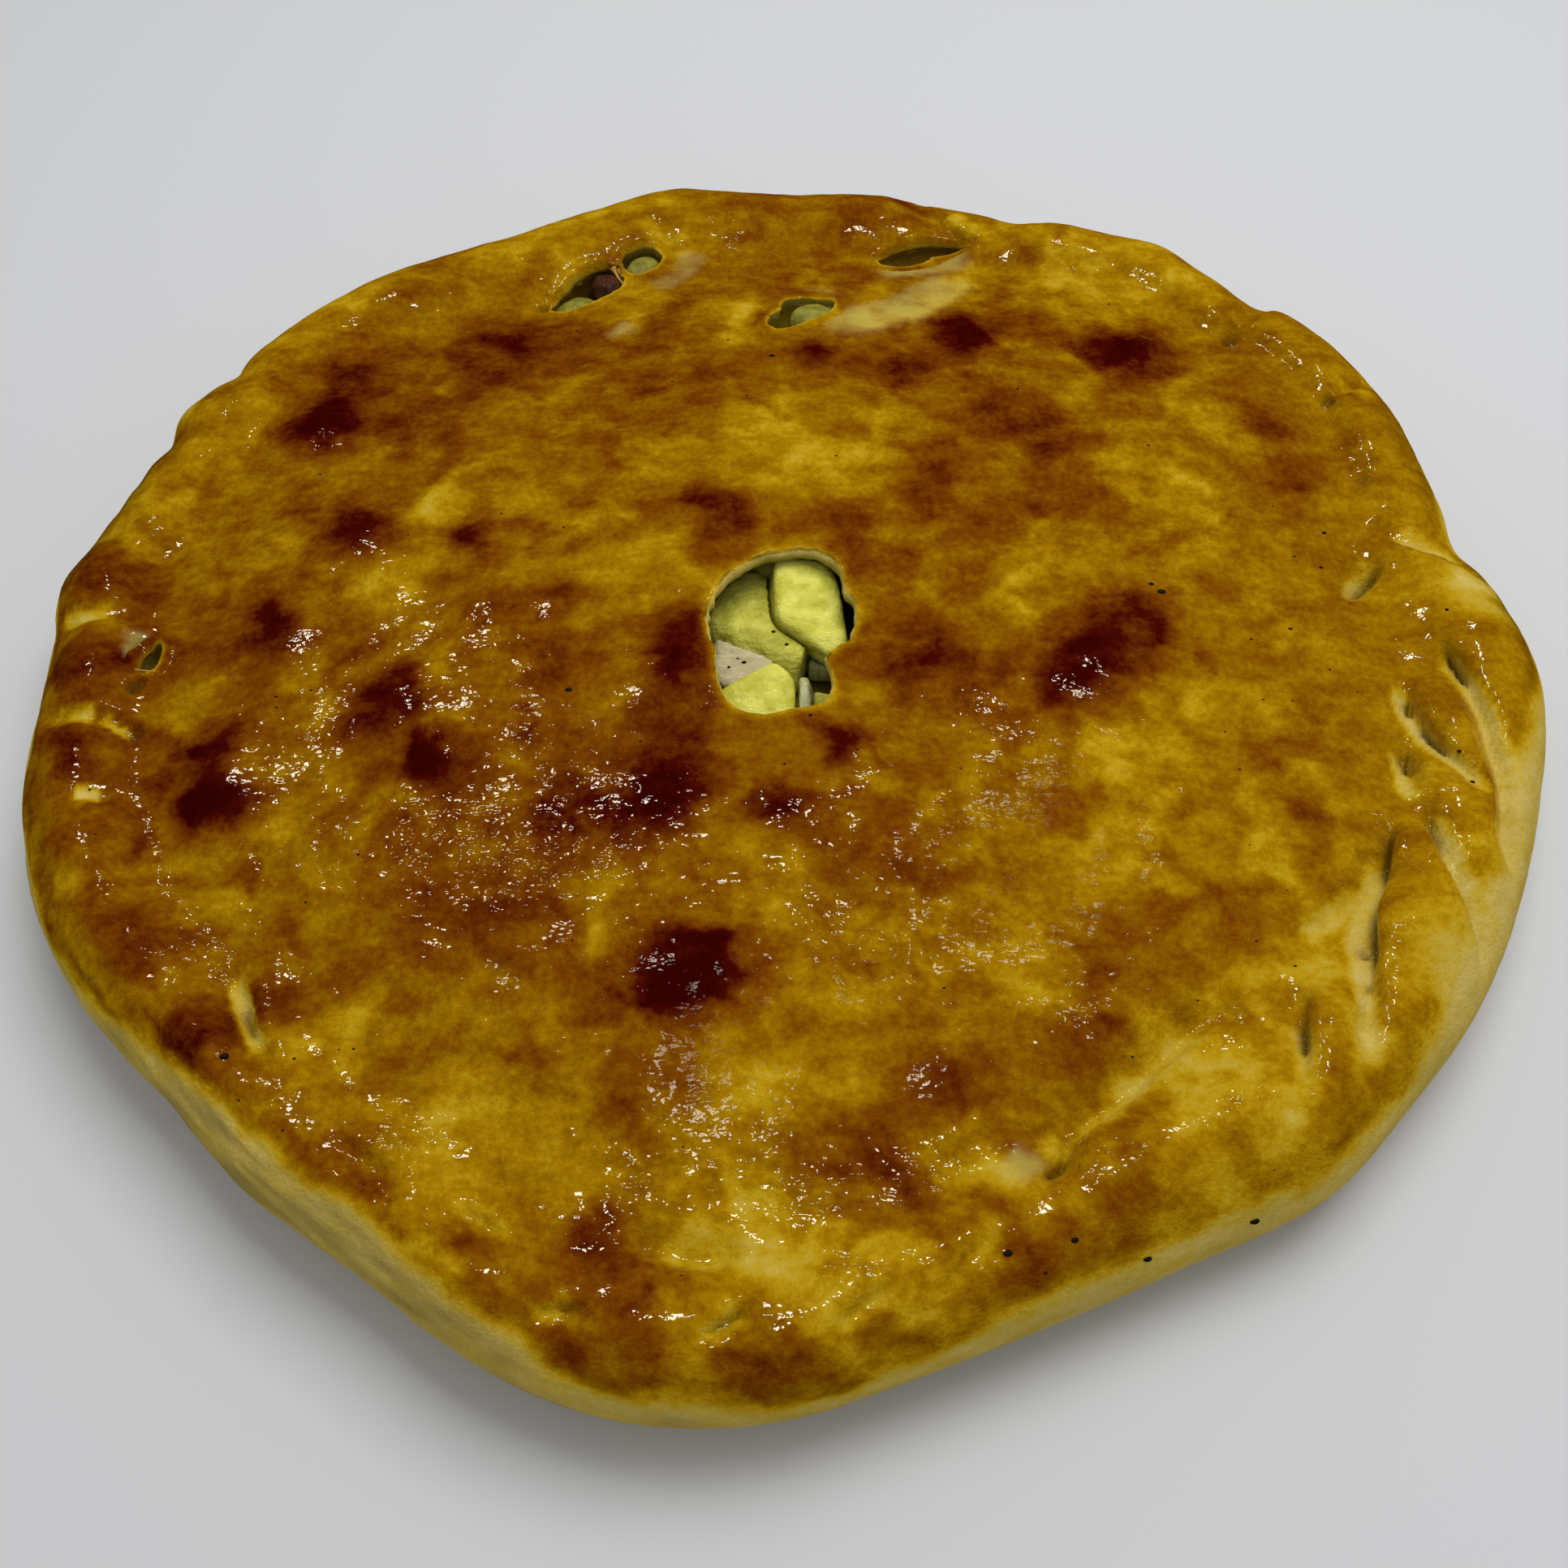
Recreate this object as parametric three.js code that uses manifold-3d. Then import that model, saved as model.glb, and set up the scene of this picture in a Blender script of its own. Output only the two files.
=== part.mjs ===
// A whole chicken flatbread pie: a round, hand-closed bread crust with a pleated rope edge,
// a steam hole cut in the lid, tears at the far edge, a slit at the left, and the pieces of filling
// that show in the openings. Millimetres, +Z up, origin on the flat base, straight under the hole.
//
// The crust is one skin. Each of its points is named by an azimuth and by its distance along the
// skin from the steam hole's axis, so that [x, y] on the rolled-out crust places every feature:
// on the lid it is the plan position, and past the crest of the edge it goes on down the side.
import * as THREE from 'three';
import { mergeVertices } from 'three/addons/utils/BufferGeometryUtils.js';
import Module from 'manifold-3d';

const wasm = await Module();
wasm.setup();

// ---- driving dimensions ------------------------------------------------------------------------

const RIM_RADII = [                 // widest radius every 10 degrees, from +X round by +Y
  154.4, 153.0, 153.8, 161.2, 165.0, 163.0, 162.8, 157.4, 158.2, 157.2, 160.4, 158.0,
  157.0, 159.2, 158.2, 156.2, 152.6, 152.6, 148.9, 148.8, 147.2, 143.2, 138.4, 138.2,
  137.8, 142.0, 144.0, 141.6, 136.2, 133.6, 134.4, 138.2, 140.4, 143.6, 146.4, 149.8];
const RIM_NOTCHES = [               // azimuth, depth and half width in degrees (negative: a bulge)
  [14, 3.2, 3.4], [45.5, 2.6, 2.4], [55, -3.2, 3.4], [67, 2.2, 2.4], [100, -1.4, 4], [115, 1.4, 4],
  [145.5, 2.2, 1.8], [151, -1.4, 1.6], [154.5, 1.6, 1.8], [171, -1.6, 3], [313, -1.2, 6]];
const SEAM_INSETS = [32, 23, 26, 32, 34, 25, 25, 24, 24, 24, 26, 28];  // rim to seam, every 30 deg
const SEAM_DEPTHS = [3.4, 2.8, 2.8, 3.2, 3.2, 2.2, 2.4, 1.8, 1.2, 1.4, 2.8, 3.4];
const DOME_HEIGHT = 37;             // lid at the steam hole
const DOME_FLATNESS = 3;            // exponent of the dome: higher is flatter in the middle
const DOME_EASE = 1.3;              // how gently it runs out into the seam
const CREST_HEIGHT = 29;            // top of the rolled edge
const CREST_INSETS = [17, 17, 17, 17, 17, 16, 14, 12, 12, 13, 15, 17];  // rim to crest, every 30 deg
const WIDEST_HEIGHTS = [12.5, 12.5, 12.5, 12.5, 12.5, 13, 14, 17, 17, 15, 13, 12.5];   // every 30 deg
const FOOT_INSETS = [12, 12, 12, 12, 12, 13, 16, 22, 22, 18, 14, 12];  // rim to the flat base

const HOLE_RADII = [                // steam hole, every 20 degrees
  13.4, 15.2, 16.2, 20.0, 20.2, 18.6, 17.0, 15.8, 14.8, 14.0, 12.9, 15.6, 19.6, 19.8,
  18.8, 18.2, 10.8, 11.4];
const LID_THICKNESS = 3.8;          // dough at the steam hole
const WELL_FLOOR = 17;              // hollow under the hole, where the pieces of filling lie
const WELL_UNDERCUT = 7;            // how far the hollow reaches under the lid

const CLEARANCE = 0.35;             // gap between a piece of filling and what it lies in

// Folds of the edge: a path on the rolled-out crust, how deep, and how wide the valley is to the
// left and to the right of the path. The narrow side is the wall of the lobe that overlaps.
const FOLDS = [
  { path: [[123, 36], [130, 30], [137, 26], [146, 23]], depth: 3.4, left: 7, right: 4 },
  { path: [[112, 16], [118, 21], [123, 27]], depth: 2.8, left: 4.5, right: 4 },
  { path: [[127, 4], [130, -4], [133, -16], [134, -31], [136, -46]], depth: 4.6, left: 4.4, right: 6.5 },
  { path: [[118, -6], [119, -10], [121, -18], [124, -25], [129, -35]], depth: 3.6, left: 4, right: 4.8 },
  { path: [[117, -20], [118, -35], [118, -44], [121, -55], [126, -68]], depth: 3.4, left: 4, right: 4 },
  { path: [[112, -38], [106, -50], [102, -60], [100, -70], [100, -80], [98, -91]],
    depth: 4.0, left: 4, right: 5 },
  { path: [[90, -70], [86, -82], [84, -95]], depth: 2.8, left: 4, right: 4 },
  { path: [[43, -104], [50, -98], [59, -91], [70, -83], [82, -73]], depth: 3.0, left: 6, right: 4 },
  { path: [[103, 96], [110, 105], [117, 113]], depth: 2.4, left: 4, right: 4 },
  { path: [[121, 74], [129, 81], [137, 86]], depth: 2.2, left: 4, right: 4 },
  { path: [[124, 50], [134, 55], [142, 58]], depth: 1.6, left: 4, right: 4 },
  { path: [[46, 128], [39, 136], [33, 152]], depth: 2.8, left: 7, right: 4 },
  { path: [[-26, 128], [-31, 139]], depth: 1.6, left: 4, right: 4 },
  { path: [[-97, 94], [-112, 105]], depth: 1.8, left: 4, right: 4 },
  { path: [[-128, 26], [-149, 38]], depth: 2.0, left: 4, right: 4 },
  { path: [[-133, 11], [-150, 10]], depth: 2.0, left: 4, right: 4 },
  { path: [[-121, -21], [-124, -18], [-131, -16], [-146, -14]], depth: 2.2, left: 4, right: 4 },
  { path: [[-122, -32], [-138, -34]], depth: 1.5, left: 4, right: 4 },
  { path: [[-120, -52], [-138, -54]], depth: 1.6, left: 4, right: 4 },
  { path: [[-89, -84], [-92, -78], [-95, -73], [-96, -67]], depth: 2.4, left: 4.5, right: 4 },
  { path: [[-60, -113], [-72, -104]], depth: 1.5, left: 4, right: 4 },
  { path: [[-12, -121], [-20, -121], [-27, -117]], depth: 1.4, left: 4, right: 4 },
];

// Rounded lobes of the rolled edge between the folds: x, y, radius, rise.
const LOBES = [
  [136, 12, 12, 2.0], [125, -11, 7, 1.6], [130, -30, 8, 1.8], [121, -29, 5, 1.2], [126, -50, 7, 1.6],
  [110, -46, 7, 2.0], [110, -63, 9, 2.6], [106, -80, 9, 1.4], [93, -78, 7, 2.2], [91, -92, 8, 1.6],
  [73, -92, 9, 2.2], [57, -106, 9, 1.8], [118, 38, 8, 1.2], [128, 62, 9, 1.4], [114, 84, 9, 1.4],
  [90, 112, 10, 1.4], [62, 130, 10, 1.6], [20, 138, 11, 1.6], [-8, 136, 12, 1.2], [-55, 126, 10, 1.2],
  [-85, 110, 9, 1.2], [-118, 72, 10, 1.2], [-138, 23, 8, 1.2], [-138, -2, 8, 1.6], [-133, -25, 6, 1.2],
  [-129, -43, 7, 1.4], [-120, -68, 10, 1.2], [-104, -92, 10, 1.0], [-82, -108, 10, 0.8],
  [-52, -126, 9, 0.8], [-20, -132, 9, 1.0], [14, -126, 10, 0.8],
];

// Pits pinched into the dough: [x, y] on the rolled-out crust, radius, depth.
const PITS = [
  [103, 96, 3.2, 2.4], [121, 74, 3.2, 2.4], [124, 50, 2.8, 1.6], [126.5, 5, 3.6, 3.6],
  [118.5, -9, 2.8, 2.0], [117, -22, 2.8, 2.4], [106, -52, 3.2, 2.4], [86, -80, 2.8, 2.2],
  [-121, -21, 3.0, 2.2], [-33, 94, 3.4, 1.2], [-30, -118, 3.4, 1.4],
];

// Blisters raised by steam under the skin, browned darkest by the oven: x, y, radius, rise.
const BLISTERS = [
  [-101, 64, 8.5, 1.4], [-95, 81, 6, 0.7], [-86, 29, 7, 1.2], [-98, 5, 6, 1.0], [-104, -36, 7, 1.2],
  [-106, -22, 6, 0.9], [-73, -12, 5, 0.9], [-62, -28, 5.5, 1.0], [-59, 83, 8, 1.0], [-57, 6, 5.5, 0.8],
  [-62, 25, 4.6, 0.7], [-44, 8, 3.6, 0.7], [-22, -37, 7.5, 1.4], [-20, -10, 6.6, 0.6], [0, -41, 5, 0.9],
  [13, -29, 5, 1.0], [25, -10, 6.5, 0.6], [-13, 32, 7, 0.8], [12, 30, 6, 0.7], [40, 96, 6.6, 1.1],
  [6, 81, 5, 1.0], [27, 79, 4.4, 0.7], [80, 88, 7.3, 1.2], [106, 67, 5.7, 0.7], [110, 47, 7, 0.7],
  [-16, -75, 6.6, 1.4], [59, -4, 8, 0.9], [72, 4, 8, 1.0], [27, -92, 4.6, 1.0], [52, -82, 6, 0.9],
  [-99, -83, 6, 1.2], [-88, -74, 5, 0.8], [-112, -64, 5, 0.8], [94, -39, 5, 0.8], [20, -107, 4, 0.7],
];

// Lumps of filling felt through the lid, spread by a seeded draw.
const LUMP_COUNT = 46;
const LUMP_REACH = 112;             // they fill this radius round the steam hole
const LUMP_RADIUS = [7, 13];
const LUMP_RISE = 1.1;
const LUMP_SEED = 5;

// Tears and slits right through the skin: centre on the rolled-out crust, direction of the long
// axis in degrees, half length, half width and depth.
const TEARS = {
  back_left: { at: [-45.5, 113.8], along: 39, half: [11.5, 5.4], depth: 10 },
  back_left_end: { at: [-33.6, 124.6], along: 40, half: [5.6, 4.4], depth: 8 },
  back_middle: { at: [4.4, 101], along: 30, half: [9.6, 6.6], depth: 9 },
  back_right: { at: [34.5, 126.5], along: 12, half: [12, 3.8], depth: 6 },
  left_slit: { at: [-124.7, 1.3], along: 86, half: [4.6, 1.8], depth: 6 },
};

// ---- small helpers -----------------------------------------------------------------------------

const radians = THREE.MathUtils.degToRad;
const degrees = THREE.MathUtils.radToDeg;
const clamp01 = (value) => THREE.MathUtils.clamp(value, 0, 1);
const bump = (distance, width) => Math.exp(-((distance / width) ** 2));

// The same draw every time: a fraction between 0 and 1 for each whole number.
const draw = (index) => {
  const wave = Math.sin(index * 12.9898 + LUMP_SEED) * 43758.5453;
  return wave - Math.floor(wave);
};

// A closed smooth curve through evenly spaced values round the pie (Catmull-Rom).
function around(values, azimuth) {
  const count = values.length;
  const turn = ((((azimuth % 360) + 360) % 360) / 360) * count;
  const first = Math.floor(turn);
  const f = turn - first;
  const value = (step) => values[(first + step + count) % count];
  const [a, b, c, d] = [value(-1), value(0), value(1), value(2)];
  return b + 0.5 * f * (c - a + f * (2 * a - 5 * b + 4 * c - d + f * (3 * (b - c) + d - a)));
}

// Distance from a point to a path, positive on the left of the path.
function pathDistance(x, y, path) {
  let nearest = Infinity;
  let side = 1;
  for (let i = 0; i + 1 < path.length; i += 1) {
    const [x0, y0] = path[i];
    const [dx, dy] = [path[i + 1][0] - x0, path[i + 1][1] - y0];
    const t = clamp01(((x - x0) * dx + (y - y0) * dy) / (dx * dx + dy * dy));
    const distance = Math.hypot(x - x0 - t * dx, y - y0 - t * dy);
    if (distance < nearest) {
      nearest = distance;
      side = Math.sign(dx * (y - y0) - dy * (x - x0)) || 1;
    }
  }
  return side * nearest;
}

// ---- the crust's skin --------------------------------------------------------------------------

const SIDE_LENGTH = 26;             // along the skin from the crest down to the widest line
const FOOT_LENGTH = 20;             // and from there to the flat base

function rimRadius(azimuth) {
  let radius = around(RIM_RADII, azimuth);
  for (const [middle, depth, width] of RIM_NOTCHES) {
    radius -= depth * bump(((azimuth - middle + 900) % 360) - 180, width);
  }
  return radius;
}

const holeRadius = (azimuth) => around(HOLE_RADII, azimuth);
const footRadius = (azimuth) => rimRadius(azimuth) - around(FOOT_INSETS, azimuth);
const seamRadius = (azimuth) => rimRadius(azimuth) - around(SEAM_INSETS, azimuth);
const crestRadius = (azimuth) => rimRadius(azimuth) - around(CREST_INSETS, azimuth);

// The smooth section: dome, seam valley, rolled edge, side and foot. Gives [radius, height].
function section(azimuth, skin) {
  const rim = rimRadius(azimuth);
  const seam = seamRadius(azimuth);
  const crest = crestRadius(azimuth);
  const seamHeight = CREST_HEIGHT - around(SEAM_DEPTHS, azimuth);
  if (skin < seam) {
    const dome = (1 - (skin / seam) ** DOME_FLATNESS) ** DOME_EASE;
    return [skin, seamHeight + (DOME_HEIGHT - seamHeight) * dome];
  }
  if (skin < crest) {
    const climb = Math.sin((Math.PI / 2) * (skin - seam) / (crest - seam)) ** 2;
    return [skin, seamHeight + (CREST_HEIGHT - seamHeight) * climb];
  }
  const widest = around(WIDEST_HEIGHTS, azimuth);
  const down = (Math.PI / 2) * (skin - crest) / SIDE_LENGTH;
  if (down < Math.PI / 2) {
    return [crest + (rim - crest) * Math.sin(down), widest + (CREST_HEIGHT - widest) * Math.cos(down)];
  }
  const under = (Math.PI / 2) * clamp01((skin - crest - SIDE_LENGTH) / FOOT_LENGTH);
  const foot = footRadius(azimuth);
  return [foot + (rim - foot) * Math.cos(under), widest * (1 - Math.sin(under))];
}

const lumps = Array.from({ length: LUMP_COUNT }, (_, i) => {
  const reach = LUMP_REACH * Math.sqrt(draw(4 * i));
  const angle = 2 * Math.PI * draw(4 * i + 1);
  const radius = THREE.MathUtils.lerp(LUMP_RADIUS[0], LUMP_RADIUS[1], draw(4 * i + 2));
  return [reach * Math.cos(angle), reach * Math.sin(angle), radius, LUMP_RISE * (2 * draw(4 * i + 3) - 1)];
});

// How far the skin stands proud of the smooth section, at [x, y] on the rolled-out crust.
function relief(x, y) {
  let height = 0;
  for (const [cx, cy, radius, rise] of [...lumps, ...BLISTERS, ...LOBES]) {
    height += rise * bump(Math.hypot(x - cx, y - cy), radius);
  }
  for (const [cx, cy, radius, depth] of PITS) {
    height -= depth * bump(Math.hypot(x - cx, y - cy), radius);
  }
  for (const { path, depth, left, right } of FOLDS) {
    const distance = pathDistance(x, y, path);
    height -= depth * bump(distance, distance > 0 ? left : right);
  }
  return height;
}

// A point of the finished skin, moved square to the section by the relief. The relief dies away
// down the side, so that the foot and the widest line stay as driven above.
function skinPoint(azimuth, skin) {
  const [radius, height] = section(azimuth, skin);
  const [nextRadius, nextHeight] = section(azimuth, skin + 0.5);
  const slope = Math.hypot(nextRadius - radius, nextHeight - height) || 1;
  const [outRadius, outHeight] = [(height - nextHeight) / slope, (nextRadius - radius) / slope];
  const angle = radians(azimuth);
  const sideShare = clamp01((skin - crestRadius(azimuth)) / SIDE_LENGTH);
  const proud = relief(skin * Math.cos(angle), skin * Math.sin(angle)) * (1 - sideShare ** 2);
  const reach = radius + outRadius * proud;
  return [reach * Math.cos(angle), reach * Math.sin(angle), height + outHeight * proud];
}

// ---- solids from rings -------------------------------------------------------------------------

// Joins rings of points, each with as many points as the one before, or twice or half as many,
// between two poles, into one closed skin.
function skinOfRings(firstPole, rings, lastPole) {
  const positions = [...firstPole];
  const index = [];
  const starts = [];
  for (const ring of rings) {
    starts.push(positions.length / 3);
    ring.forEach((point) => positions.push(...point));
  }
  const last = positions.length / 3;
  positions.push(...lastPole);
  const first = rings[0].length;
  for (let i = 0; i < first; i += 1) {
    index.push(0, starts[0] + i, starts[0] + ((i + 1) % first));
  }
  for (let r = 0; r + 1 < rings.length; r += 1) {
    const [inner, outer] = [rings[r].length, rings[r + 1].length];
    const steps = Math.min(inner, outer);
    const innerStep = inner / steps;
    const outerStep = outer / steps;
    for (let i = 0; i < steps; i += 1) {
      const a = (k) => starts[r] + ((i * innerStep + k) % inner);
      const b = (k) => starts[r + 1] + ((i * outerStep + k) % outer);
      if (innerStep === 2) {
        index.push(a(0), b(0), a(1), a(1), b(0), b(1), a(1), b(1), a(2));
      } else if (outerStep === 2) {
        index.push(a(0), b(0), b(1), a(0), b(1), a(1), a(1), b(1), b(2));
      } else {
        index.push(a(0), b(0), b(1), a(0), b(1), a(1));
      }
    }
  }
  const end = rings.length - 1;
  const count = rings[end].length;
  for (let i = 0; i < count; i += 1) {
    index.push(last, starts[end] + ((i + 1) % count), starts[end] + i);
  }
  const geometry = new THREE.BufferGeometry();
  geometry.setAttribute('position', new THREE.Float32BufferAttribute(positions, 3));
  geometry.setIndex(index);
  return geometry;
}

// Points round one ring. They stand closer together on the pleated side than across from it.
const PLEATED_AZIMUTH = 335;
const CROWDING = 18;                // degrees
const ringOf = (count, point) => Array.from({ length: count }, (_, i) => {
  const azimuth = (360 / count) * i;
  return point(azimuth - CROWDING * Math.sin(radians(azimuth - PLEATED_AZIMUTH)));
});
const atRadius = (azimuth, radius, height) => [
  radius * Math.cos(radians(azimuth)), radius * Math.sin(radians(azimuth)), height];

const FINE = 168;                   // points round the edge, the lid and the hole
const MIDDLE = FINE / 2;
const COARSE = FINE / 4;

// Hollow under the steam hole, from its floor up the wall and along the lid's underside to the lip:
// [share of the undercut, height above the floor, height below the lid's top].
const WELL_RINGS = [
  [0.75, 0, null], [1, 1.5, null], [1, null, LID_THICKNESS + 3], [0.7, null, LID_THICKNESS],
  [0.15, null, LID_THICKNESS], [0, null, LID_THICKNESS * 0.5], [0.12, null, 0.5],
];
const LID_STEPS_COARSE = [0.04, 0.09, 0.15];        // shares of the way from the hole to the seam
const LID_STEPS_MIDDLE = [0.22, 0.3, 0.38, 0.46, 0.54, 0.62, 0.7];
const LID_STEPS_FINE = [0.78, 0.85, 0.91, 0.96, 1];
const EDGE_STEPS = [0.35, 0.7, 1];                  // shares of the way from the seam to the crest
const SIDE_STEPS = [0.2, 0.4, 0.6, 0.8, 1];         // down the side
const FOOT_STEPS = [0.34, 0.67, 1];                 // and under to the flat base

function crustSkin() {
  const lid = (share) => (azimuth) => {
    const hole = holeRadius(azimuth);
    return skinPoint(azimuth, hole + (seamRadius(azimuth) - hole) * share);
  };
  const wellRing = ([undercut, overFloor, underTop]) => ringOf(COARSE, (azimuth) => {
    const hole = holeRadius(azimuth);
    const top = skinPoint(azimuth, hole)[2];
    const height = underTop === null ? WELL_FLOOR + overFloor : top - underTop;
    return atRadius(azimuth, hole + WELL_UNDERCUT * undercut, height);
  });
  const floorRing = ringOf(COARSE / 2, (azimuth) => atRadius(azimuth, holeRadius(azimuth) * 0.7, WELL_FLOOR));
  const edge = (share) => (azimuth) => {
    const seam = seamRadius(azimuth);
    return skinPoint(azimuth, seam + (crestRadius(azimuth) - seam) * share);
  };
  const side = (share) => (azimuth) => skinPoint(azimuth, crestRadius(azimuth) + SIDE_LENGTH * share);
  const foot = (share) => (azimuth) => skinPoint(
    azimuth, crestRadius(azimuth) + SIDE_LENGTH + FOOT_LENGTH * share);
  const base = (share) => (azimuth) => atRadius(azimuth, footRadius(azimuth) * share, 0);
  const rings = [
    floorRing,
    ...WELL_RINGS.map(wellRing),
    ...LID_STEPS_COARSE.map((share) => ringOf(COARSE, lid(share))),
    ...LID_STEPS_MIDDLE.map((share) => ringOf(MIDDLE, lid(share))),
    ...LID_STEPS_FINE.map((share) => ringOf(FINE, lid(share))),
    ...EDGE_STEPS.map((share) => ringOf(FINE, edge(share))),
    ...SIDE_STEPS.map((share) => ringOf(FINE, side(share))),
    ...FOOT_STEPS.map((share) => ringOf(FINE, foot(share))),
    ringOf(MIDDLE, base(0.7)),
    ringOf(COARSE, base(0.35)),
  ];
  return skinOfRings([0, 0, WELL_FLOOR], rings, [0, 0, 0]);
}

// ---- cuts and pieces ---------------------------------------------------------------------------

function solidOf(geometry) {
  const bare = geometry.clone();
  bare.deleteAttribute('normal');
  bare.deleteAttribute('uv');
  const merged = mergeVertices(bare, 1e-4);
  return new wasm.Manifold(new wasm.Mesh({
    numProp: 3,
    vertProperties: new Float32Array(merged.attributes.position.array),
    triVerts: new Uint32Array(merged.index.array),
  }));
}

function geometryOf(solid) {
  const { vertProperties, triVerts } = solid.getMesh();
  const geometry = new THREE.BufferGeometry();
  geometry.setAttribute('position', new THREE.BufferAttribute(vertProperties, 3));
  geometry.setIndex(new THREE.BufferAttribute(triVerts, 1));
  return geometry;
}

// Frame of the skin at [x, y] on the rolled-out crust: origin on the skin, z out of it, and x along
// the direction given in degrees on the rolled-out crust.
function skinFrame([x, y], along) {
  const at = (px, py) => new THREE.Vector3(
    ...skinPoint(degrees(Math.atan2(py, px)), Math.hypot(px, py)));
  const origin = at(x, y);
  const step = 4;
  const ahead = at(x + step * Math.cos(radians(along)), y + step * Math.sin(radians(along)));
  const across = at(x - step * Math.sin(radians(along)), y + step * Math.cos(radians(along)));
  const xAxis = ahead.sub(origin).normalize();
  const zAxis = xAxis.clone().cross(across.sub(origin)).normalize();
  const yAxis = zAxis.clone().cross(xAxis);
  return new THREE.Matrix4().makeBasis(xAxis, yAxis, zAxis).setPosition(origin);
}

// The hollow behind a tear: an ellipsoid sunk into the crust, a little wider inside than its mouth.
const POCKET_SEGMENTS = [16, 8];
const POCKET_SINK = 0.3;            // share of its depth by which its middle lies under the skin
function pocket({ at, along, half, depth }, shrink = 0) {
  const shape = new THREE.SphereGeometry(1, ...POCKET_SEGMENTS);
  shape.scale(half[0] - shrink, half[1] - shrink, depth * (1 - POCKET_SINK) - shrink);
  shape.translate(0, 0, -depth * POCKET_SINK);
  return solidOf(shape.applyMatrix4(skinFrame(at, along)));
}

function bareSphere(detail) {
  const sphere = new THREE.IcosahedronGeometry(1, detail);
  sphere.deleteAttribute('normal');
  sphere.deleteAttribute('uv');
  return sphere;
}

// A piece cut with a knife: the soft intersection of flat cuts, each [azimuth, elevation, distance
// from the middle]. A high sharpness gives crisp edges.
function cutPiece({ middle, cuts, sharpness = 9, detail = 3 }, grow = 0) {
  const shape = mergeVertices(bareSphere(detail), 1e-5);
  const position = shape.attributes.position;
  const direction = new THREE.Vector3();
  const normals = cuts.map(([azimuth, elevation, distance]) => ({
    normal: new THREE.Vector3(
      Math.cos(radians(elevation)) * Math.cos(radians(azimuth)),
      Math.cos(radians(elevation)) * Math.sin(radians(azimuth)),
      Math.sin(radians(elevation))),
    distance: distance + grow,
  }));
  for (let i = 0; i < position.count; i += 1) {
    direction.fromBufferAttribute(position, i).normalize();
    let sum = 0;
    for (const { normal, distance } of normals) {
      sum += Math.max(normal.dot(direction) / distance, 0) ** sharpness;
    }
    direction.multiplyScalar(sum ** (-1 / sharpness));
    position.setXYZ(i, direction.x + middle[0], direction.y + middle[1], direction.z + middle[2]);
  }
  return solidOf(shape);
}

// Pieces in the steam hole, the uppermost first: each later one is cut back clear of the others.
const HOLE_PIECES = {
  potato_a: {
    middle: [5, 12.5, 26.6],
    cuts: [[300, 80, 5.0], [183, 10, 7.2], [234, -12, 6.8], [5, 5, 7.6], [30, 0, 9.0], [85, 0, 10.2],
      [0, -90, 4.4], [210, 0, 8.0]],
  },
  potato_b: {
    middle: [-4, 9.5, 22.6],
    cuts: [[90, 90, 5.4], [242, 30, 7.1], [242, 0, 8.4], [180, 0, 11.6], [146, 0, 12.2], [340, 0, 10.6],
      [60, 0, 12], [0, -90, 5.2]],
  },
  potato_c: {
    middle: [-3.5, -8.6, 23],
    cuts: [[270, 84, 6.2], [122, 5, 5.6], [50, 0, 7.0], [0, 0, 6.3], [268, 0, 8.6], [180, 0, 9.2],
      [222, 0, 9.6], [0, -90, 5.6]],
  },
  potato_d: {
    middle: [9.6, -10.6, 21.6],
    cuts: [[140, 70, 4.6], [180, 0, 3.4], [0, 0, 3.4], [60, 0, 3.6], [240, 0, 3.8], [300, 0, 4],
      [0, -90, 4.2]],
    detail: 2,
  },
  potato_e: {
    middle: [-3.4, 23.4, 21.4],
    cuts: [[250, 65, 5.0], [180, 0, 3.4], [0, 0, 4.4], [90, 0, 2.8], [270, 0, 4], [0, -90, 4]],
    detail: 2,
  },
  chicken_piece: {
    middle: [-8.2, 1.2, 21.6],
    cuts: [[230, 84, 4.4], [180, 0, 5.4], [350, 0, 7], [70, 0, 6], [250, 0, 6.2], [0, -90, 4.2]],
    sharpness: 7,
    detail: 2,
  },
  onion_sliver: {
    middle: [4.6, -7.4, 22.4],
    cuts: [[0, 10, 1.7], [180, 0, 1.3], [90, 0, 4.2], [270, 0, 4.6], [0, 90, 4.8], [0, -90, 5]],
    sharpness: 6,
    detail: 2,
  },
  onion_layer: {
    middle: [8.7, 4.4, 21],
    cuts: [[250, 70, 2.7], [0, 0, 3.6], [180, 0, 3.4], [90, 0, 4.4], [270, 0, 2.6], [0, -90, 3.4]],
    sharpness: 6,
    detail: 2,
  },
};

// Pieces in the tears, each lying in the hollow behind one tear. Places are on the tear's own
// frame: along it, across it, and out of the skin.
const TEAR_PIECES = {
  tear_onion: { tear: 'back_left', middle: [-4.6, -1.0, -5.0], size: [6.2, 4.2, 3.6] },
  tear_meat: { tear: 'back_left', middle: [5.8, 0.8, -4.6], size: [3.8, 4.4, 4.0] },
  tear_potato: { tear: 'back_left_end', middle: [0, -0.6, -3.8], size: [4.6, 3.6, 2.8] },
  gap_potato: { tear: 'back_middle', middle: [3.2, -0.3, -3.6], size: [5.6, 6.2, 3.8] },
  gap_onion: { tear: 'back_middle', middle: [-6.0, -1.2, -4.4], size: [2.8, 2.8, 2.4] },
};
const TEAR_PIECE_DETAIL = 2;

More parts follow.
